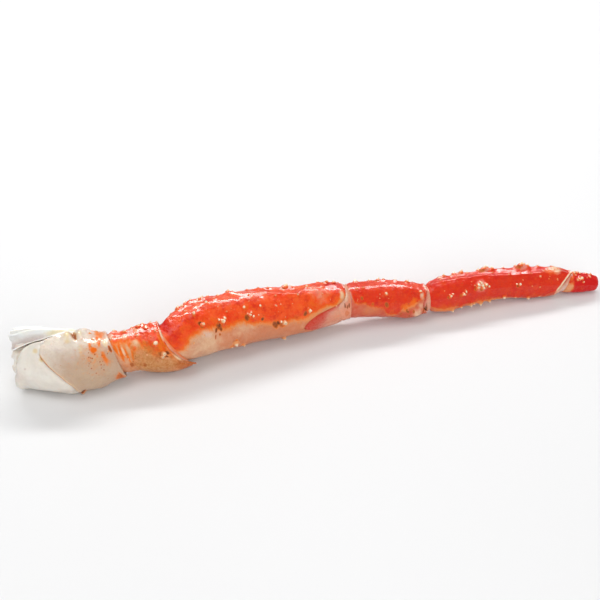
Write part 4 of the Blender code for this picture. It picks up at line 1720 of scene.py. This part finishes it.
COXA = Coxa(
    name="coxa", spokes=256, step=0.5 * MM, cup_depth=8 * MM, neck=-20 * MM,
    red_front=((0, -200), (70, -200)), red_rear=((0, -200), (70, -200)), feather=10,
    slot="ivory_shell", rim=Rim(height=0.5 * MM, width=1.4 * MM, bare=0.3),
    lumps=0.75 * MM, blush=((0, 0), (46, 0), (58, 0.28), (70, 0.5)),
    marks=(
        mark(44, 18, 1.5, -3, stretch=2.8, slant=0.25, brown=0.85),
        mark(43.9, 18, 3, stretch=1.8, gold=1, brown=0.25), mark(39.6, 21, 2.4, 2.2, stretch=1.8, gold=0.9),
        mark(48.4, 15, 2.4, 2, stretch=2, gold=0.7), mark(56, 62, 11, stretch=1.3, orange=0.36),
        mark(46, 92, 3, 0.7, stretch=3, slant=0.1, shade=0.5), mark(47, 50, 1.6, stretch=3.2, gold=0.6),
        mark(39.5, 33, 2.4, stretch=0.8, gold=0.7), mark(56, 55, 2.4, stretch=0.9, orange=1.3),
        mark(54, 46, 1.8, stretch=2, slant=-0.2, orange=0.62), mark(57.5, 66, 2.2, stretch=2, orange=0.5),
        mark(55.5, 78, 7, stretch=1.7, specks=1, gold=0.35, orange=0.22),
        mark(52.5, 100, 4, stretch=1.5, specks=0.8),
        mark(62.5, 78, 2.6, stretch=2.4, slant=0.15, orange=0.72),
        mark(62.6, 33, 1.8, stretch=3.2, slant=-0.15, orange=0.95), mark(59.5, 40, 2.2, 0.4, bare=0.5),
        mark(67.2, 42, 2.8, 1.2, bare=0.85), mark(65.5, 10, 4, 0.5, stretch=2.2, orange=0.7),
        # painted shadow: a brown spot under the white bump at 67 mm and 42 degrees
        mark(69, 57, 1.3, -0.3, stretch=2.2, brown=0.85),
        mark(67.5, 142, 3, stretch=1.5, brown=0.42, orange=0.7),
        # a tan streak at 62 degrees, a beige middle at 84 degrees that is partly painted shade, and painted
        # shade over the lower half at 112 degrees
        mark(42.5, 62, 1.6, stretch=4.5, shade=0.5), mark(39, 84, 8, 0.4, shade=0.35),
        mark(50, 112, 22, shade=0.85, gold=0.25), mark(34, 46, 5, 0.3, stretch=0.8, slant=0.4, lilac=0.55),
        mark(41, 66, 4.5, stretch=1.2, lilac=0.4),
        # a deep pit at the lip's low end, gold-brown, partly painted shade in the hollow
        mark(44, 153, 3, -2.8, stretch=0.9, slant=0.4, brown=1, gold=0.8),
        mark(50, -60, 6, 0.6, orange=0.25, specks=0.4), mark(60, -95, 6, stretch=2, specks=0.9, orange=0.3),
        mark(63, -25, 3, 0.4, stretch=2.6, orange=0.8), mark(64, -130, 2.6, stretch=2.6, orange=0.6),
        mark(55, -20, 4, 0.9, bare=0.4),
    ),
    spines=sprout(Growth.PEARL, (57.5, 30, 1.6), (66.5, 62, 1.6), (64.5, -4, 2.4), (60.5, -40, 2.2),
                  (66, -70, 2.6), (58, 8, 1.8)),
)

ISCHIUM = Limb(
    name="ischium", spokes=216, step=0.5 * MM, dome_depth=9 * MM,
    red_front=((0, 30), (4, 42), (10, 45), (17, 48), (22, 66), (27, 88), (32, 88), (35, 90), (38, 104),
               (44, 108)),
    red_rear=((0, 40), (8, 50), (22, 84), (34, 96), (44, 104)), feather=27, blush=((0, 0.45), (44, 0.6)),
    edge_points=((-180, 41.5), (-90, 41.2), (0, 41.2), (40, 39.8), (75, 38.2), (100, 38.4), (125, 39),
                 (150, 41.3), (163, 42.4), (180, 41.5)),
    rim=Rim(height=0.35 * MM, width=0.6 * MM, bare=0.6, groove=0.45 * MM),
    crests=(Crest(((0, -8), (12, 2), (24, -6), (36, 4), (44, 0)), 1.2 * MM, 9, 0.25),
            FRONT_RIDGE, REAR_RIDGE),
    marks=(
        mark(3.4, 46, 1.2, stretch=7, slant=0.1, orange=1.3, brown=0.12),
        mark(6.6, 66, 1.2, stretch=7, slant=-0.08, orange=1.4, brown=0.2),
        mark(9.6, 80, 1.2, stretch=6, slant=0.12, orange=1.1),
        mark(13.4, 84, 1.1, stretch=5, slant=-0.15, orange=1),
        mark(8.2, 70, 1, 0.2, stretch=5, slant=0.05, bare=0.7),
        mark(11.8, 66, 1.2, 0.2, stretch=4, slant=0.1, bare=0.55),
        mark(9, 36, 2, stretch=2.5, slant=0.2, orange=0.8),
        mark(13.5, 48, 1.7, stretch=2.6, slant=-0.3, orange=0.9),
        mark(17.8, 52, 2.6, 0.4, stretch=1.5, red=-0.4, bare=0.6),
        mark(11.8, 24, 2.4, 0.5, stretch=1.3, red=-0.3, bare=0.55),
        mark(3, 12, 3, 0.5, stretch=1.6, bare=0.6), mark(20, 10, 2.6, 0.4, stretch=1.4, bare=0.5),
        mark(13, 97, 8, stretch=1.2, specks=0.8, gold=0.35), mark(30, 110, 7, gold=0.3),
        mark(10.4, 118, 1.8, -0.2, stretch=1.3, brown=0.6),
        mark(19.5, 127, 1.8, -0.2, stretch=1.3, brown=0.6), mark(23.5, 60, 2, stretch=2.4, orange=0.9),
        mark(26, 76, 2.6, stretch=1.8, orange=0.8), mark(34.5, 78, 2.4, stretch=2.2, orange=0.9),
        mark(41.5, 158, 3, 0.3, crimson=0.3),
        # the brown and gold mottling at 134 and 148 degrees is partly painted shade that darkens the belly
        mark(24, 134, 19, stretch=1.4, brown=0.32, gold=0.62, orange=0.3),
        mark(40, 148, 7, stretch=1.4, brown=0.45, orange=0.5), mark(14, 56, 11, orange=0.4),
        mark(37.5, 70, 2.5, stretch=6, orange=0.8), mark(33.4, 96, 2.8, stretch=1.2, brown=0.62, gold=0.6),
        mark(36.2, 93, 1, -0.3, stretch=1.4, brown=1.5), mark(35, 101, 0.8, -0.3, stretch=1.2, brown=1.4),
        mark(29, 92, 3, slant=0.5, red=0.75), mark(16, 66, 2.2, stretch=1.6, slant=-0.4, red=0.7),
        mark(7, 78, 1.8, stretch=2.2, slant=0.3, red=0.6),
    ),
    spines=(
        *sprout(Growth.PEARL, (32.3, 62.8, 3.9), (7, -6, 3.4), (13, 6, 3.4), (28, 10, 2.8), (20, 30, 2.2),
                (17.5, -10, 2.6), (25.5, -8, 2.4), (3, 22, 2.2), (27, -100, 2.6), (36.5, 30, 1.8)),
        *sprout(Growth.STUMP, (34.4, 93, 2.8), (32.8, 101, 2.6)),
        *sprout(Growth.THORN, (22, 0, 3), (33, -14, 3.2), (20, -64, 3.2), (33, -72, 3.4)),
        *pimples(3, 12, (6, 36)),
    ),
)

MERUS = Limb(
    name="merus", spokes=240, step=0.55 * MM, dome_depth=6 * MM, neck=-3 * MM,
    swell=((-4, 1), (0, 1.6), (4, 1.3), (10, 0.2), (16, 0), (132, 0)),
    red_front=((-4, 92), (2, 94), (7, 84), (12, 74), (18, 75), (27, 81), (31, 82), (37, 88), (44, 85),
               (53, 88), (62, 95), (71, 103), (84, 105), (94, 107), (99, 106), (104, 97), (112, 86),
               (124, 74), (132, 52)),
    red_rear=((0, 100), (20, 92), (50, 98), (80, 104), (110, 96), (132, 80)), feather=22,
    blush=((-4, 0.35), (14, 0.15), (26, 0.2), (38, 0.6), (58, 0.8), (90, 0.75), (132, 0.6)),
    edge_points=((-150, 132), (-60, 131.5), (0, 130), (42, 131), (60, 130), (75, 127), (82, 123.6),
                 (93, 116), (103, 108.6), (120, 101), (137, 97), (150, 100.5), (158, 108), (166, 119),
                 (176, 128)),
    rim=Rim(height=0.05 * MM, width=0.7 * MM, bare=0.15),
    crests=(
        Crest(((-5, 8), (12, 0), (22, -5), (32, 9), (37, 14), (42, 6), (48, -2), (53, 8), (60, 15),
               (70, 18), (78, 27), (86, 33), (92, 37), (99, 31), (104, 20), (110, 21), (119, 16),
               (132, 8)), 0.85 * MM, 7),
        Crest(((0, -30), (30, -30), (55, -22), (66, -12), (76, -1), (88, 7), (96, 8), (104, 3), (120, -9),
               (132, -13)), 0.9 * MM, 6.5),
        FRONT_RIDGE, REAR_RIDGE,
    ),
    marks=(
        mark(4, 0, 5, stretch=3.6, crimson=0.9), mark(20.5, 60, 1.6, -0.5, brown=0.95),
        mark(33.2, 84, 2.2, -0.7, stretch=1.3, slant=0.3, brown=0.72, orange=0.8),
        mark(33.9, 80.5, 0.9, -0.3, stretch=1.6, slant=-0.4, brown=1.5),
        mark(30.8, 91, 1, -0.3, stretch=2.2, slant=-0.3, brown=1),
        mark(34.5, 93, 0.9, -0.2, stretch=2, brown=0.9),
        mark(54.5, 77, 1.9, -0.4, stretch=1.2, brown=0.78, orange=0.6),
        mark(56.2, 73.5, 0.8, -0.3, stretch=1.4, brown=1.5), mark(66, 88, 1.2, -0.2, brown=0.95),
        mark(75.3, 111, 2.4, -0.7, stretch=1.3, brown=0.8, orange=0.9),
        mark(77.4, 107, 1, -0.4, stretch=1.5, slant=0.3, brown=1.5),
        mark(29, 109, 1, -0.3, stretch=2.2, slant=-0.4, brown=0.75),
        mark(33, 104, 0.8, -0.1, stretch=1.6, brown=0.55),
        mark(98.5, 94, 1.5, -0.2, stretch=1.3, brown=0.85, orange=0.7),
        mark(104, 104, 8, stretch=0.6, orange=0.42), mark(60, 84, 6, stretch=0.8, specks=0.5),
        mark(22, 98, 10, specks=0.3), mark(21, 88, 5, 0.2, stretch=1.2, slant=0.5, bare=0.42, lilac=0.5),
        mark(42, 45, 9, stretch=1.2, crimson=0.18), mark(105, 66, 9, stretch=1.2, orange=0.5),
        mark(112, 44, 8, stretch=0.9, crimson=0.35, bare=0.35), mark(126, 15, 5, stretch=1.8, crimson=0.8),
        mark(122, 5, 5, -0.5, stretch=1.6, crimson=0.8), mark(118, -14, 2.6, 0.6, bare=0.9),
        mark(128.2, 50, 2.2, 1.1, stretch=1.9, bare=0.6, red=-0.5), mark(24, 122, 9, bare=0.3),
        # the marks with shade paint shade on the low front and the belly
        mark(53, 104, 9, stretch=0.7, blush=-0.5, shade=0.1), mark(12, 150, 9, stretch=2, shade=0.4),
        mark(68, 165, 22, stretch=0.8, shade=0.35),
    ),
    spines=(
        *sprout(Growth.THORN, (17.6, -9, 3.4), (22, -15, 3.2), (21.5, 64, 2.8), (36.2, 73, 4.2),
                (57.2, 72, 2.6), (101.3, 86, 3.2), (51, 153, 2.8), (83, 163, 3), (29.7, -14, 3.2),
                (47.5, -5, 3), (88.6, 7, 4), (121, -12, 3.4), (14, -58, 3.4), (38, -66, 4), (86, -68, 3.8),
                (110, -56, 3.4), (98, -94, 2.8), (40, -140, 2.8), (66, -150, 3)),
        *sprout(Growth.PEARL, (20.8, 34, 3.4), (19.6, -2, 2.4), (24.5, -6, 2.6), (13, -6, 2.2),
                (38.3, 67, 2.6), (34.4, 68, 2.2), (59.4, 76.5, 2.2), (58.4, 66, 1.8), (55.8, 67, 1.6),
                (79.6, 103, 2.4), (29.6, 21, 3), (54.2, 50, 2.2), (66, 54, 2.2), (77.5, 60, 1.8),
                (44.7, 139, 4), (41.6, 148, 2.4), (33, -9, 2.2), (50.5, -2, 2.2), (62, -12, 2.4),
                (70, -8, 2), (76, 2, 2.2), (93, 8, 2.2), (104, 16, 2.8), (114, -8, 2.6), (126.5, -10, 2.6),
                (39.5, 4, 2.6), (95, 40, 1.8), (28, 3, 2.4), (26, -84, 2.6), (50, -92, 2.2), (74, -86, 2.6),
                (34, -38, 2.2), (70, -34, 2), (97, -30, 2.4), (92, -142, 2.6)),
        *sprout(Growth.STUMP, (82, 108, 4.4), (60, -52, 3.4)),
        *pimples(8, 60, (8, 124)),
    ),
)

CARPUS = Limb(
    name="carpus", spokes=176, step=0.5 * MM, dome_depth=8 * MM,
    swell=((-4, 0.6), (1, 0.9), (5, 0.9), (12, 0), (61, 0)),
    red_front=((0, 20), (3.5, 36), (5, 66), (8, 86), (12, 90), (17, 98), (22, 105), (28, 112), (32, 136),
               (38, 138), (42, 114), (48, 97), (54, 82), (59, 66)),
    red_rear=((0, 40), (6, 84), (24, 100), (44, 100), (60, 80)), feather=18, crimson=0.52,
    blush=((0, 0.6), (40, 0.95), (60, 0.6)),
    edge_points=((-170, 62), (-96, 59.4), (-40, 62), (0, 62), (50, 60.4), (72, 58.6), (96, 57.2), (112, 58),
                 (135, 60.5), (160, 62)),
    rim=Rim(height=0.35 * MM, width=0.8 * MM, bare=0.4),
    crests=(Crest(((0, 4), (9.5, -10), (25, -5), (40, 3), (60, 8)), 0.7 * MM, 8), FRONT_RIDGE, REAR_RIDGE),
    marks=(
        mark(2, 44, 2.6, 0.3, stretch=4, lilac=0.75, bare=0.45), mark(47.1, 124, 1, -0.3, brown=0.9),
        mark(42.2, 133, 0.9, -0.2, brown=0.8), mark(49, 142, 0.9, -0.2, brown=0.8),
        mark(46, 117, 0.8, -0.1, stretch=1.8, brown=0.7), mark(51, 121, 0.8, -0.2, stretch=1.8, brown=0.7),
        mark(54, 129, 4, 1.6, stretch=1.1, bare=0.6, red=-0.8), mark(56, 100, 3, 0.3, bare=0.5),
        mark(50, 86, 3.4, stretch=1.6, slant=-0.5, orange=0.8), mark(35, 128, 4, stretch=1.2, orange=0.6),
        mark(24, 84, 10, specks=0.35), mark(20, 92, 1.2, stretch=1.6, brown=0.4),
        # painted shade on the low front, with orange
        mark(18, 118, 9, stretch=0.6, shade=0.4, orange=0.3),
        mark(30, 96, 1.6, -0.2, stretch=1.5, slant=0.3, brown=0.7),
        mark(12, 68, 1.1, -0.1, stretch=1.4, brown=0.6), mark(44, 104, 4, 0.3, orange=0.9),
        # brown groove at the joint's knob: partly a stain, partly painted shade in the gap
        mark(58.6, 122, 0.7, -0.7, stretch=6, slant=-0.1, brown=0.8),
        # the mark at 160 degrees is painted shade on the belly
        mark(57, 60, 2, stretch=1.8, bare=0.6), mark(30, 160, 16, shade=0.4),
    ),
    spines=(
        *sprout(Growth.PEARL, (29.7, 57, 2.6), (10, -8, 3.4), (20, -6, 2.4), (30.5, -4, 2.2), (38, 0, 2.2),
                (14, 30, 1.8), (56, 46, 2.2), (38, -34, 2.2), (22, -92, 2.2), (36, -130, 2.6)),
        *sprout(Growth.THORN, (26.5, -8, 3.2), (47, 4, 2.8), (14, -60, 3), (30, -64, 3.2), (46, -56, 3)),
        *pimples(5, 20, (6, 55)),
    ),
)

PROPODUS = Limb(
    name="propodus", spokes=176, step=0.5 * MM, dome_depth=6 * MM, crimson=0.62,
    red_front=((0, 108), (9, 134), (15, 133), (34, 136), (50, 135), (62, 139), (80, 147), (96, 142),
               (104, 115), (113, 92)),
    red_rear=((0, 110), (30, 118), (70, 128), (113, 106)), feather=17, blush=((0, 0.6), (40, 0.8)),
    edge_points=((-170, 109), (-90, 111), (-20, 112.6), (10, 112.2), (45, 109.4), (80, 107), (110, 106.6),
                 (150, 108)),
    rim=Rim(height=0.35 * MM, width=1.1 * MM, bare=0.8),
    crests=(
        Crest(((0, 12), (12, 17), (33, 19), (45, 22), (60, 31), (72, 33), (84, 28), (108, 16)), 0.75 * MM, 7),
        Crest(((0, -12), (50, -6), (80, -7), (112, -10)), 0.8 * MM, 8, 0.12), FRONT_RIDGE, REAR_RIDGE,
    ),
    marks=(
        mark(72.8, 75, 1.5, -0.6, brown=0.9), mark(14, 134, 12, stretch=0.6, orange=0.6),
        mark(45, 132, 14, stretch=0.4, orange=0.5), mark(88, 130, 12, stretch=0.3, orange=0.45),
        mark(75, 10, 14, stretch=0.4, orange=0.35), mark(98, 12, 7, stretch=0.8, orange=0.7),
        mark(43, 62, 4.4, 0.6, bare=0.66, lilac=0.9),
        mark(101.5, 3, 4.4, 0.3, stretch=1.2, bare=0.62, gold=0.4),
        mark(50, -8, 4.6, 1.2, stretch=0.9, bare=0.62, lilac=0.8),
        mark(78, -9, 5, 1.2, stretch=0.9, bare=0.62, lilac=0.8),
        mark(30, -12, 4, 0.7, bare=0.45, lilac=0.5), mark(16, -6, 4, 0.5, bare=0.35),
        mark(50, 146, 26, stretch=0.14, orange=0.75), mark(60, 85, 12, specks=0.3),
        # the mark at 170 degrees is painted shade on the belly, with orange
        mark(30, 80, 12, specks=0.3), mark(50, 170, 25, stretch=0.6, shade=0.35, orange=0.25),
    ),
    spines=(
        *sprout(Growth.PEARL, (19.6, 146, 3.4), (34.7, 143, 3.2), (43.6, 149, 3.2), (63.1, 132, 2.8),
                (83.6, 140, 3.2), (14, -4, 2.2), (18.5, -8, 2.8), (36.5, -4, 2), (45.8, -12, 2.8),
                (52, -10, 3), (55.4, -5, 2.4), (73.6, -10, 3), (82.6, -8, 2.6), (64, -8, 2), (90, -9, 2.2),
                (19.6, 72, 1.8), (30.4, 74, 2.4), (29, 84, 1.8), (43.2, 53, 3), (41, 58, 2.8), (44, 63, 3),
                (49.2, 69, 2.4), (74.4, 70, 2.8), (71.6, 69, 2), (27, 146, 2.2), (37.7, 142, 2.6),
                (50.8, 144, 2.6), (73, 140, 2.2), (66, 30, 1.8), (93, 136, 2), (90, 40, 1.8),
                (44, -40, 2.2), (84, -36, 2.2)),
        *sprout(Growth.THORN, (26.6, -13, 3.2), (32.6, -11, 3), (49.7, -6, 4.2), (77.2, -6, 4.2),
                (79.8, -12, 3.2), (99.5, -12, 2.8), (17.5, 77.5, 2.6), (27.8, 80, 2.6), (39.6, 66, 2.8),
                (46.4, 61, 3), (43.8, 71, 2.6), (18, -66, 3), (34, -60, 3.2), (52, -70, 3.4),
                (70, -62, 3.2), (90, -68, 3), (28, -112, 2.6), (60, -118, 2.8), (40, -150, 2.6),
                (76, -146, 2.6)),
        *pimples(9, 38, (8, 104)),
    ),
)

DACTYLUS = Toe(
    name="dactylus", spokes=128, step=0.45 * MM, dome_depth=5 * MM, crimson=1.0,
    red_front=((0, 60), (6, 92), (12, 170), (30, 175)), red_rear=((0, 90), (12, 170), (30, 175)),
    feather=14, lumps=0.3 * MM, crests=(Crest(((0, -4), (28, -2)), 0.5 * MM, 9), FRONT_RIDGE),
    marks=(
        mark(5.5, 108, 3.8, 0.3, stretch=1.8, bare=0.3, orange=0.45, red=-0.8, crimson=-0.9),
        mark(4, 30, 3, stretch=2, orange=0.6), mark(14, 100, 6, orange=0.4),
    ),
    spines=(
        *sprout(Growth.HOOK, (1.9, -5, 2.8)),
        *sprout(Growth.THORN, (4.6, 8, 2.6), (7.6, 2, 3.2), (10.6, 42, 2.8), (9, -58, 2.8)),
        *sprout(Growth.PEARL, (10.6, 4, 2.2), (12.8, 36, 2.4), (9, 48, 2), (15, 58, 1.8), (17.5, -6, 2.2),
                (21.5, 0, 1.8), (16, -70, 2.2), (20.5, 20, 1.8)),
        *pimples(2, 8, (6, 22)),
    ),
)

MEMBRANES = (
    Membrane(ISCHIUM, MERUS, reach=-1.0 * MM, crimson=((-180, 0.2), (-60, 0.6), (30, 0.5), (90, 0.3)),
             pale=((-180, 0.1), (30, 0), (110, 0.1)), sunk=0.2 * MM, bare=0.1, warm=0.75),
    Membrane(MERUS, CARPUS, crimson=((-180, 0.4), (-120, 0.95), (-60, 0.95), (0, 1), (45, 0.85), (75, 0.75),
                                     (100, 0.95), (140, 1), (165, 0.5)),
             pale=((-180, 0.1), (0, 0), (60, 0.1), (100, 0.15), (160, 0.1)), sunk=0.25 * MM, fade=0.85,
             bare=0.0, warm=0.5, lip=((-180, 131.5), (-100, 136), (-60, 137), (-10, 135), (46, 131),
                                      (68, 128.4), (90, 124.9), (120, 125.6), (163, 129.5)),
             marks=(
                 mark(129.6, 90, 0.6, -0.8, stretch=4, slant=0.1, brown=1.2),
                 mark(131.4, 96, 0.5, -0.6, stretch=3.4, slant=-0.1, brown=1.1),
                 mark(133, 92, 0.6, -0.7, stretch=3.6, brown=1.2),
                 mark(131.2, 120, 2.4, -0.3, stretch=1.8, brown=0.3, orange=0.7),
                 mark(130.5, 60, 3, 0.5, stretch=1.2, bare=0.5),
             )),
    Membrane(CARPUS, PROPODUS, crimson=((-180, 0.5), (-100, 1), (-40, 1), (0, 0.9), (90, 0.8), (130, 0.4)),
             pale=((-180, 0.3), (0, 0), (90, 0.1), (140, 0.4)), sunk=0.8 * MM,
             # a brown groove in the gap at the joint: partly brown skin, partly painted shade
             marks=(mark(60.5, 128, 1.4, -0.4, stretch=4, brown=0.95),)),
    Membrane(PROPODUS, DACTYLUS, crimson=((-180, 0.4), (-100, 1), (0, 0.9), (60, 0.7), (95, 0.1),
                                          (150, 0.1)),
             pale=((-180, 0.4), (0, 0), (60, 0.3), (100, 0.9), (150, 0.8)), sunk=0.4 * MM),
)


# ---------------- the studio


@dataclass(frozen=True)
class Studio:
    """A pale floor, soft lights, and the camera."""

    aim: tuple = (-7.3 * MM, 11.1 * MM, 20 * MM)
    distance: float = 928.6 * MM
    azimuth: float = -17.0  # degrees, to the left of straight on
    elevation: float = 40.0
    lens: float = 75.0  # millimetres, on a 36 mm wide film
    floor_size: float = 8.0
    lamps: tuple = (("window", 166, 48, 1.3, (1.7, 0.15), 13, True, True),
                    ("gleam", 162, 52, 1.5, (1.6, 0.42), 40, True, False),
                    ("overhead", -80, 62, 1.4, (0.7, 0.7), 5.5, True, True),
                    ("reflector", 10, 32, 1.6, (1.5, 1.5), 14, False, True))  # as the arguments of light
    daylight: float = 0.37  # the strength of the even light from all round

    def towards(self, azimuth: float, elevation: float, distance: float) -> Vector:
        """A point in a direction from the leg's middle.

        Args:
            azimuth: Degrees, to the right of straight on.
            elevation: Degrees above the floor.
            distance: Metres from the middle.

        Returns:
            The point.
        """
        turn, up = math.radians(azimuth), math.radians(elevation)
        away = Vector((math.cos(up) * math.sin(turn), -math.cos(up) * math.cos(turn), math.sin(up)))
        return Vector(self.aim) + distance * away

    def camera(self) -> None:
        """Sets up the camera."""
        data = bpy.data.cameras.new("camera")
        data.lens = self.lens
        data.sensor_width = 36.0
        camera = bpy.data.objects.new("camera", data)
        camera.location = self.towards(self.azimuth, self.elevation, self.distance)
        camera.rotation_euler = (Vector(self.aim) - camera.location).to_track_quat("-Z", "Y").to_euler()
        bpy.context.scene.collection.objects.link(camera)
        bpy.context.scene.camera = camera

    def light(self, name: str, azimuth: float, elevation: float, distance: float, size: tuple, power: float,
              mirrored: bool, lighting: bool) -> None:
        """Sets up one soft light that faces the leg.

        Args:
            name: Its name.
            azimuth: Where it is, in degrees.
            elevation: How high it is, in degrees.
            distance: How far it is from the leg's middle.
            size: Its width and its height.
            power: Its power in watts.
            mirrored: Whether wet skins mirror it.
            lighting: Whether it lights what is not shiny.
        """
        data = bpy.data.lights.new(name, "AREA")
        data.shape = "RECTANGLE"
        data.size, data.size_y = size
        data.energy = power
        lamp = bpy.data.objects.new(name, data)
        lamp.visible_glossy, lamp.visible_diffuse = mirrored, lighting
        lamp.location = self.towards(azimuth, elevation, distance)
        lamp.rotation_euler = (Vector(self.aim) - lamp.location).to_track_quat("-Z", "Y").to_euler()
        bpy.context.scene.collection.objects.link(lamp)

    def floor(self) -> None:
        """Lays the floor."""
        half = self.floor_size / 2
        mesh = bpy.data.meshes.new("floor")
        corners = [(-half, -half, 0), (half, -half, 0), (half, half, 0), (-half, half, 0)]
        mesh.from_pydata(corners, [], [(0, 1, 2, 3)])
        g = Paint("floor_pale")
        cloudy = g.cloud(0.4, detail=1)
        base = g.mix(cloudy.rise(-1.2, 1.2), colour(0.76, 0.76, 0.76), colour(0.79, 0.79, 0.795))
        mesh.materials.append(g.finish({"Base Color": base, "Roughness": 0.6, "Specular IOR Level": 0.0}))
        floor = bpy.data.objects.new("floor", mesh)
        bpy.context.scene.collection.objects.link(floor)

    def build(self) -> None:
        """Builds the studio."""
        self.floor()
        for name, azimuth, elevation, distance, size, power, mirrored, lighting in self.lamps:
            self.light(name, azimuth, elevation, distance, size, power, mirrored, lighting)
        world = bpy.data.worlds.new("world")
        world.use_nodes = True
        shade = world.node_tree.nodes["Background"]
        shade.inputs["Color"].default_value = (1.0, 1.0, 1.0, 1.0)
        shade.inputs["Strength"].default_value = self.daylight
        bpy.context.scene.world = world
        bpy.context.scene.view_settings.view_transform = "Standard"
        self.camera()


def main() -> None:
    """Builds the leg from the shoulder to the toe, and the studio round it."""
    logging.basicConfig(level=logging.INFO, format="%(message)s")
    red_shell = ShellFinish("crab_shell_red").paint()
    ivory_shell = ShellFinish("crab_shell_ivory", Palette.SHELL_WHITE, Palette.SHELL_GREY, coat=0.6,
                              subsurface=0.15, pimples=0.1).paint()
    white_shell = SkinFinish("shoulder_shell_white", Palette.WHITE_GREY, Palette.SHELL_WHITE).paint()
    white_skin = SkinFinish("shoulder_skin_white", Palette.WHITE, Palette.WHITE_GREY, strand=0.5).paint()
    flesh = SkinFinish("crab_flesh", Palette.WHITE, Palette.CREAM, strand=1.0).paint()
    soft = SkinFinish("joint_skin", Palette.SKIN_PALE, Palette.SKIN_PINK, roughness=0.28, coat=0.7).paint()
    spine = SpineFinish("crab_spine").paint()
    shoulder = Shoulder(COXA)
    shoulder.meat(flesh)
    shoulder.plate(white_shell)
    shoulder.flap(white_skin)
    COXA.build(ivory_shell)
    limbs = [COXA, ISCHIUM, MERUS, CARPUS, PROPODUS, DACTYLUS]
    for limb in limbs[1:]:
        limb.build(red_shell)
    for membrane in MEMBRANES:
        membrane.build(soft)
    for growth in Growth:
        SpineField(growth, limbs).build(spine)
    Studio().build()


if __name__ == "__main__":
    main()
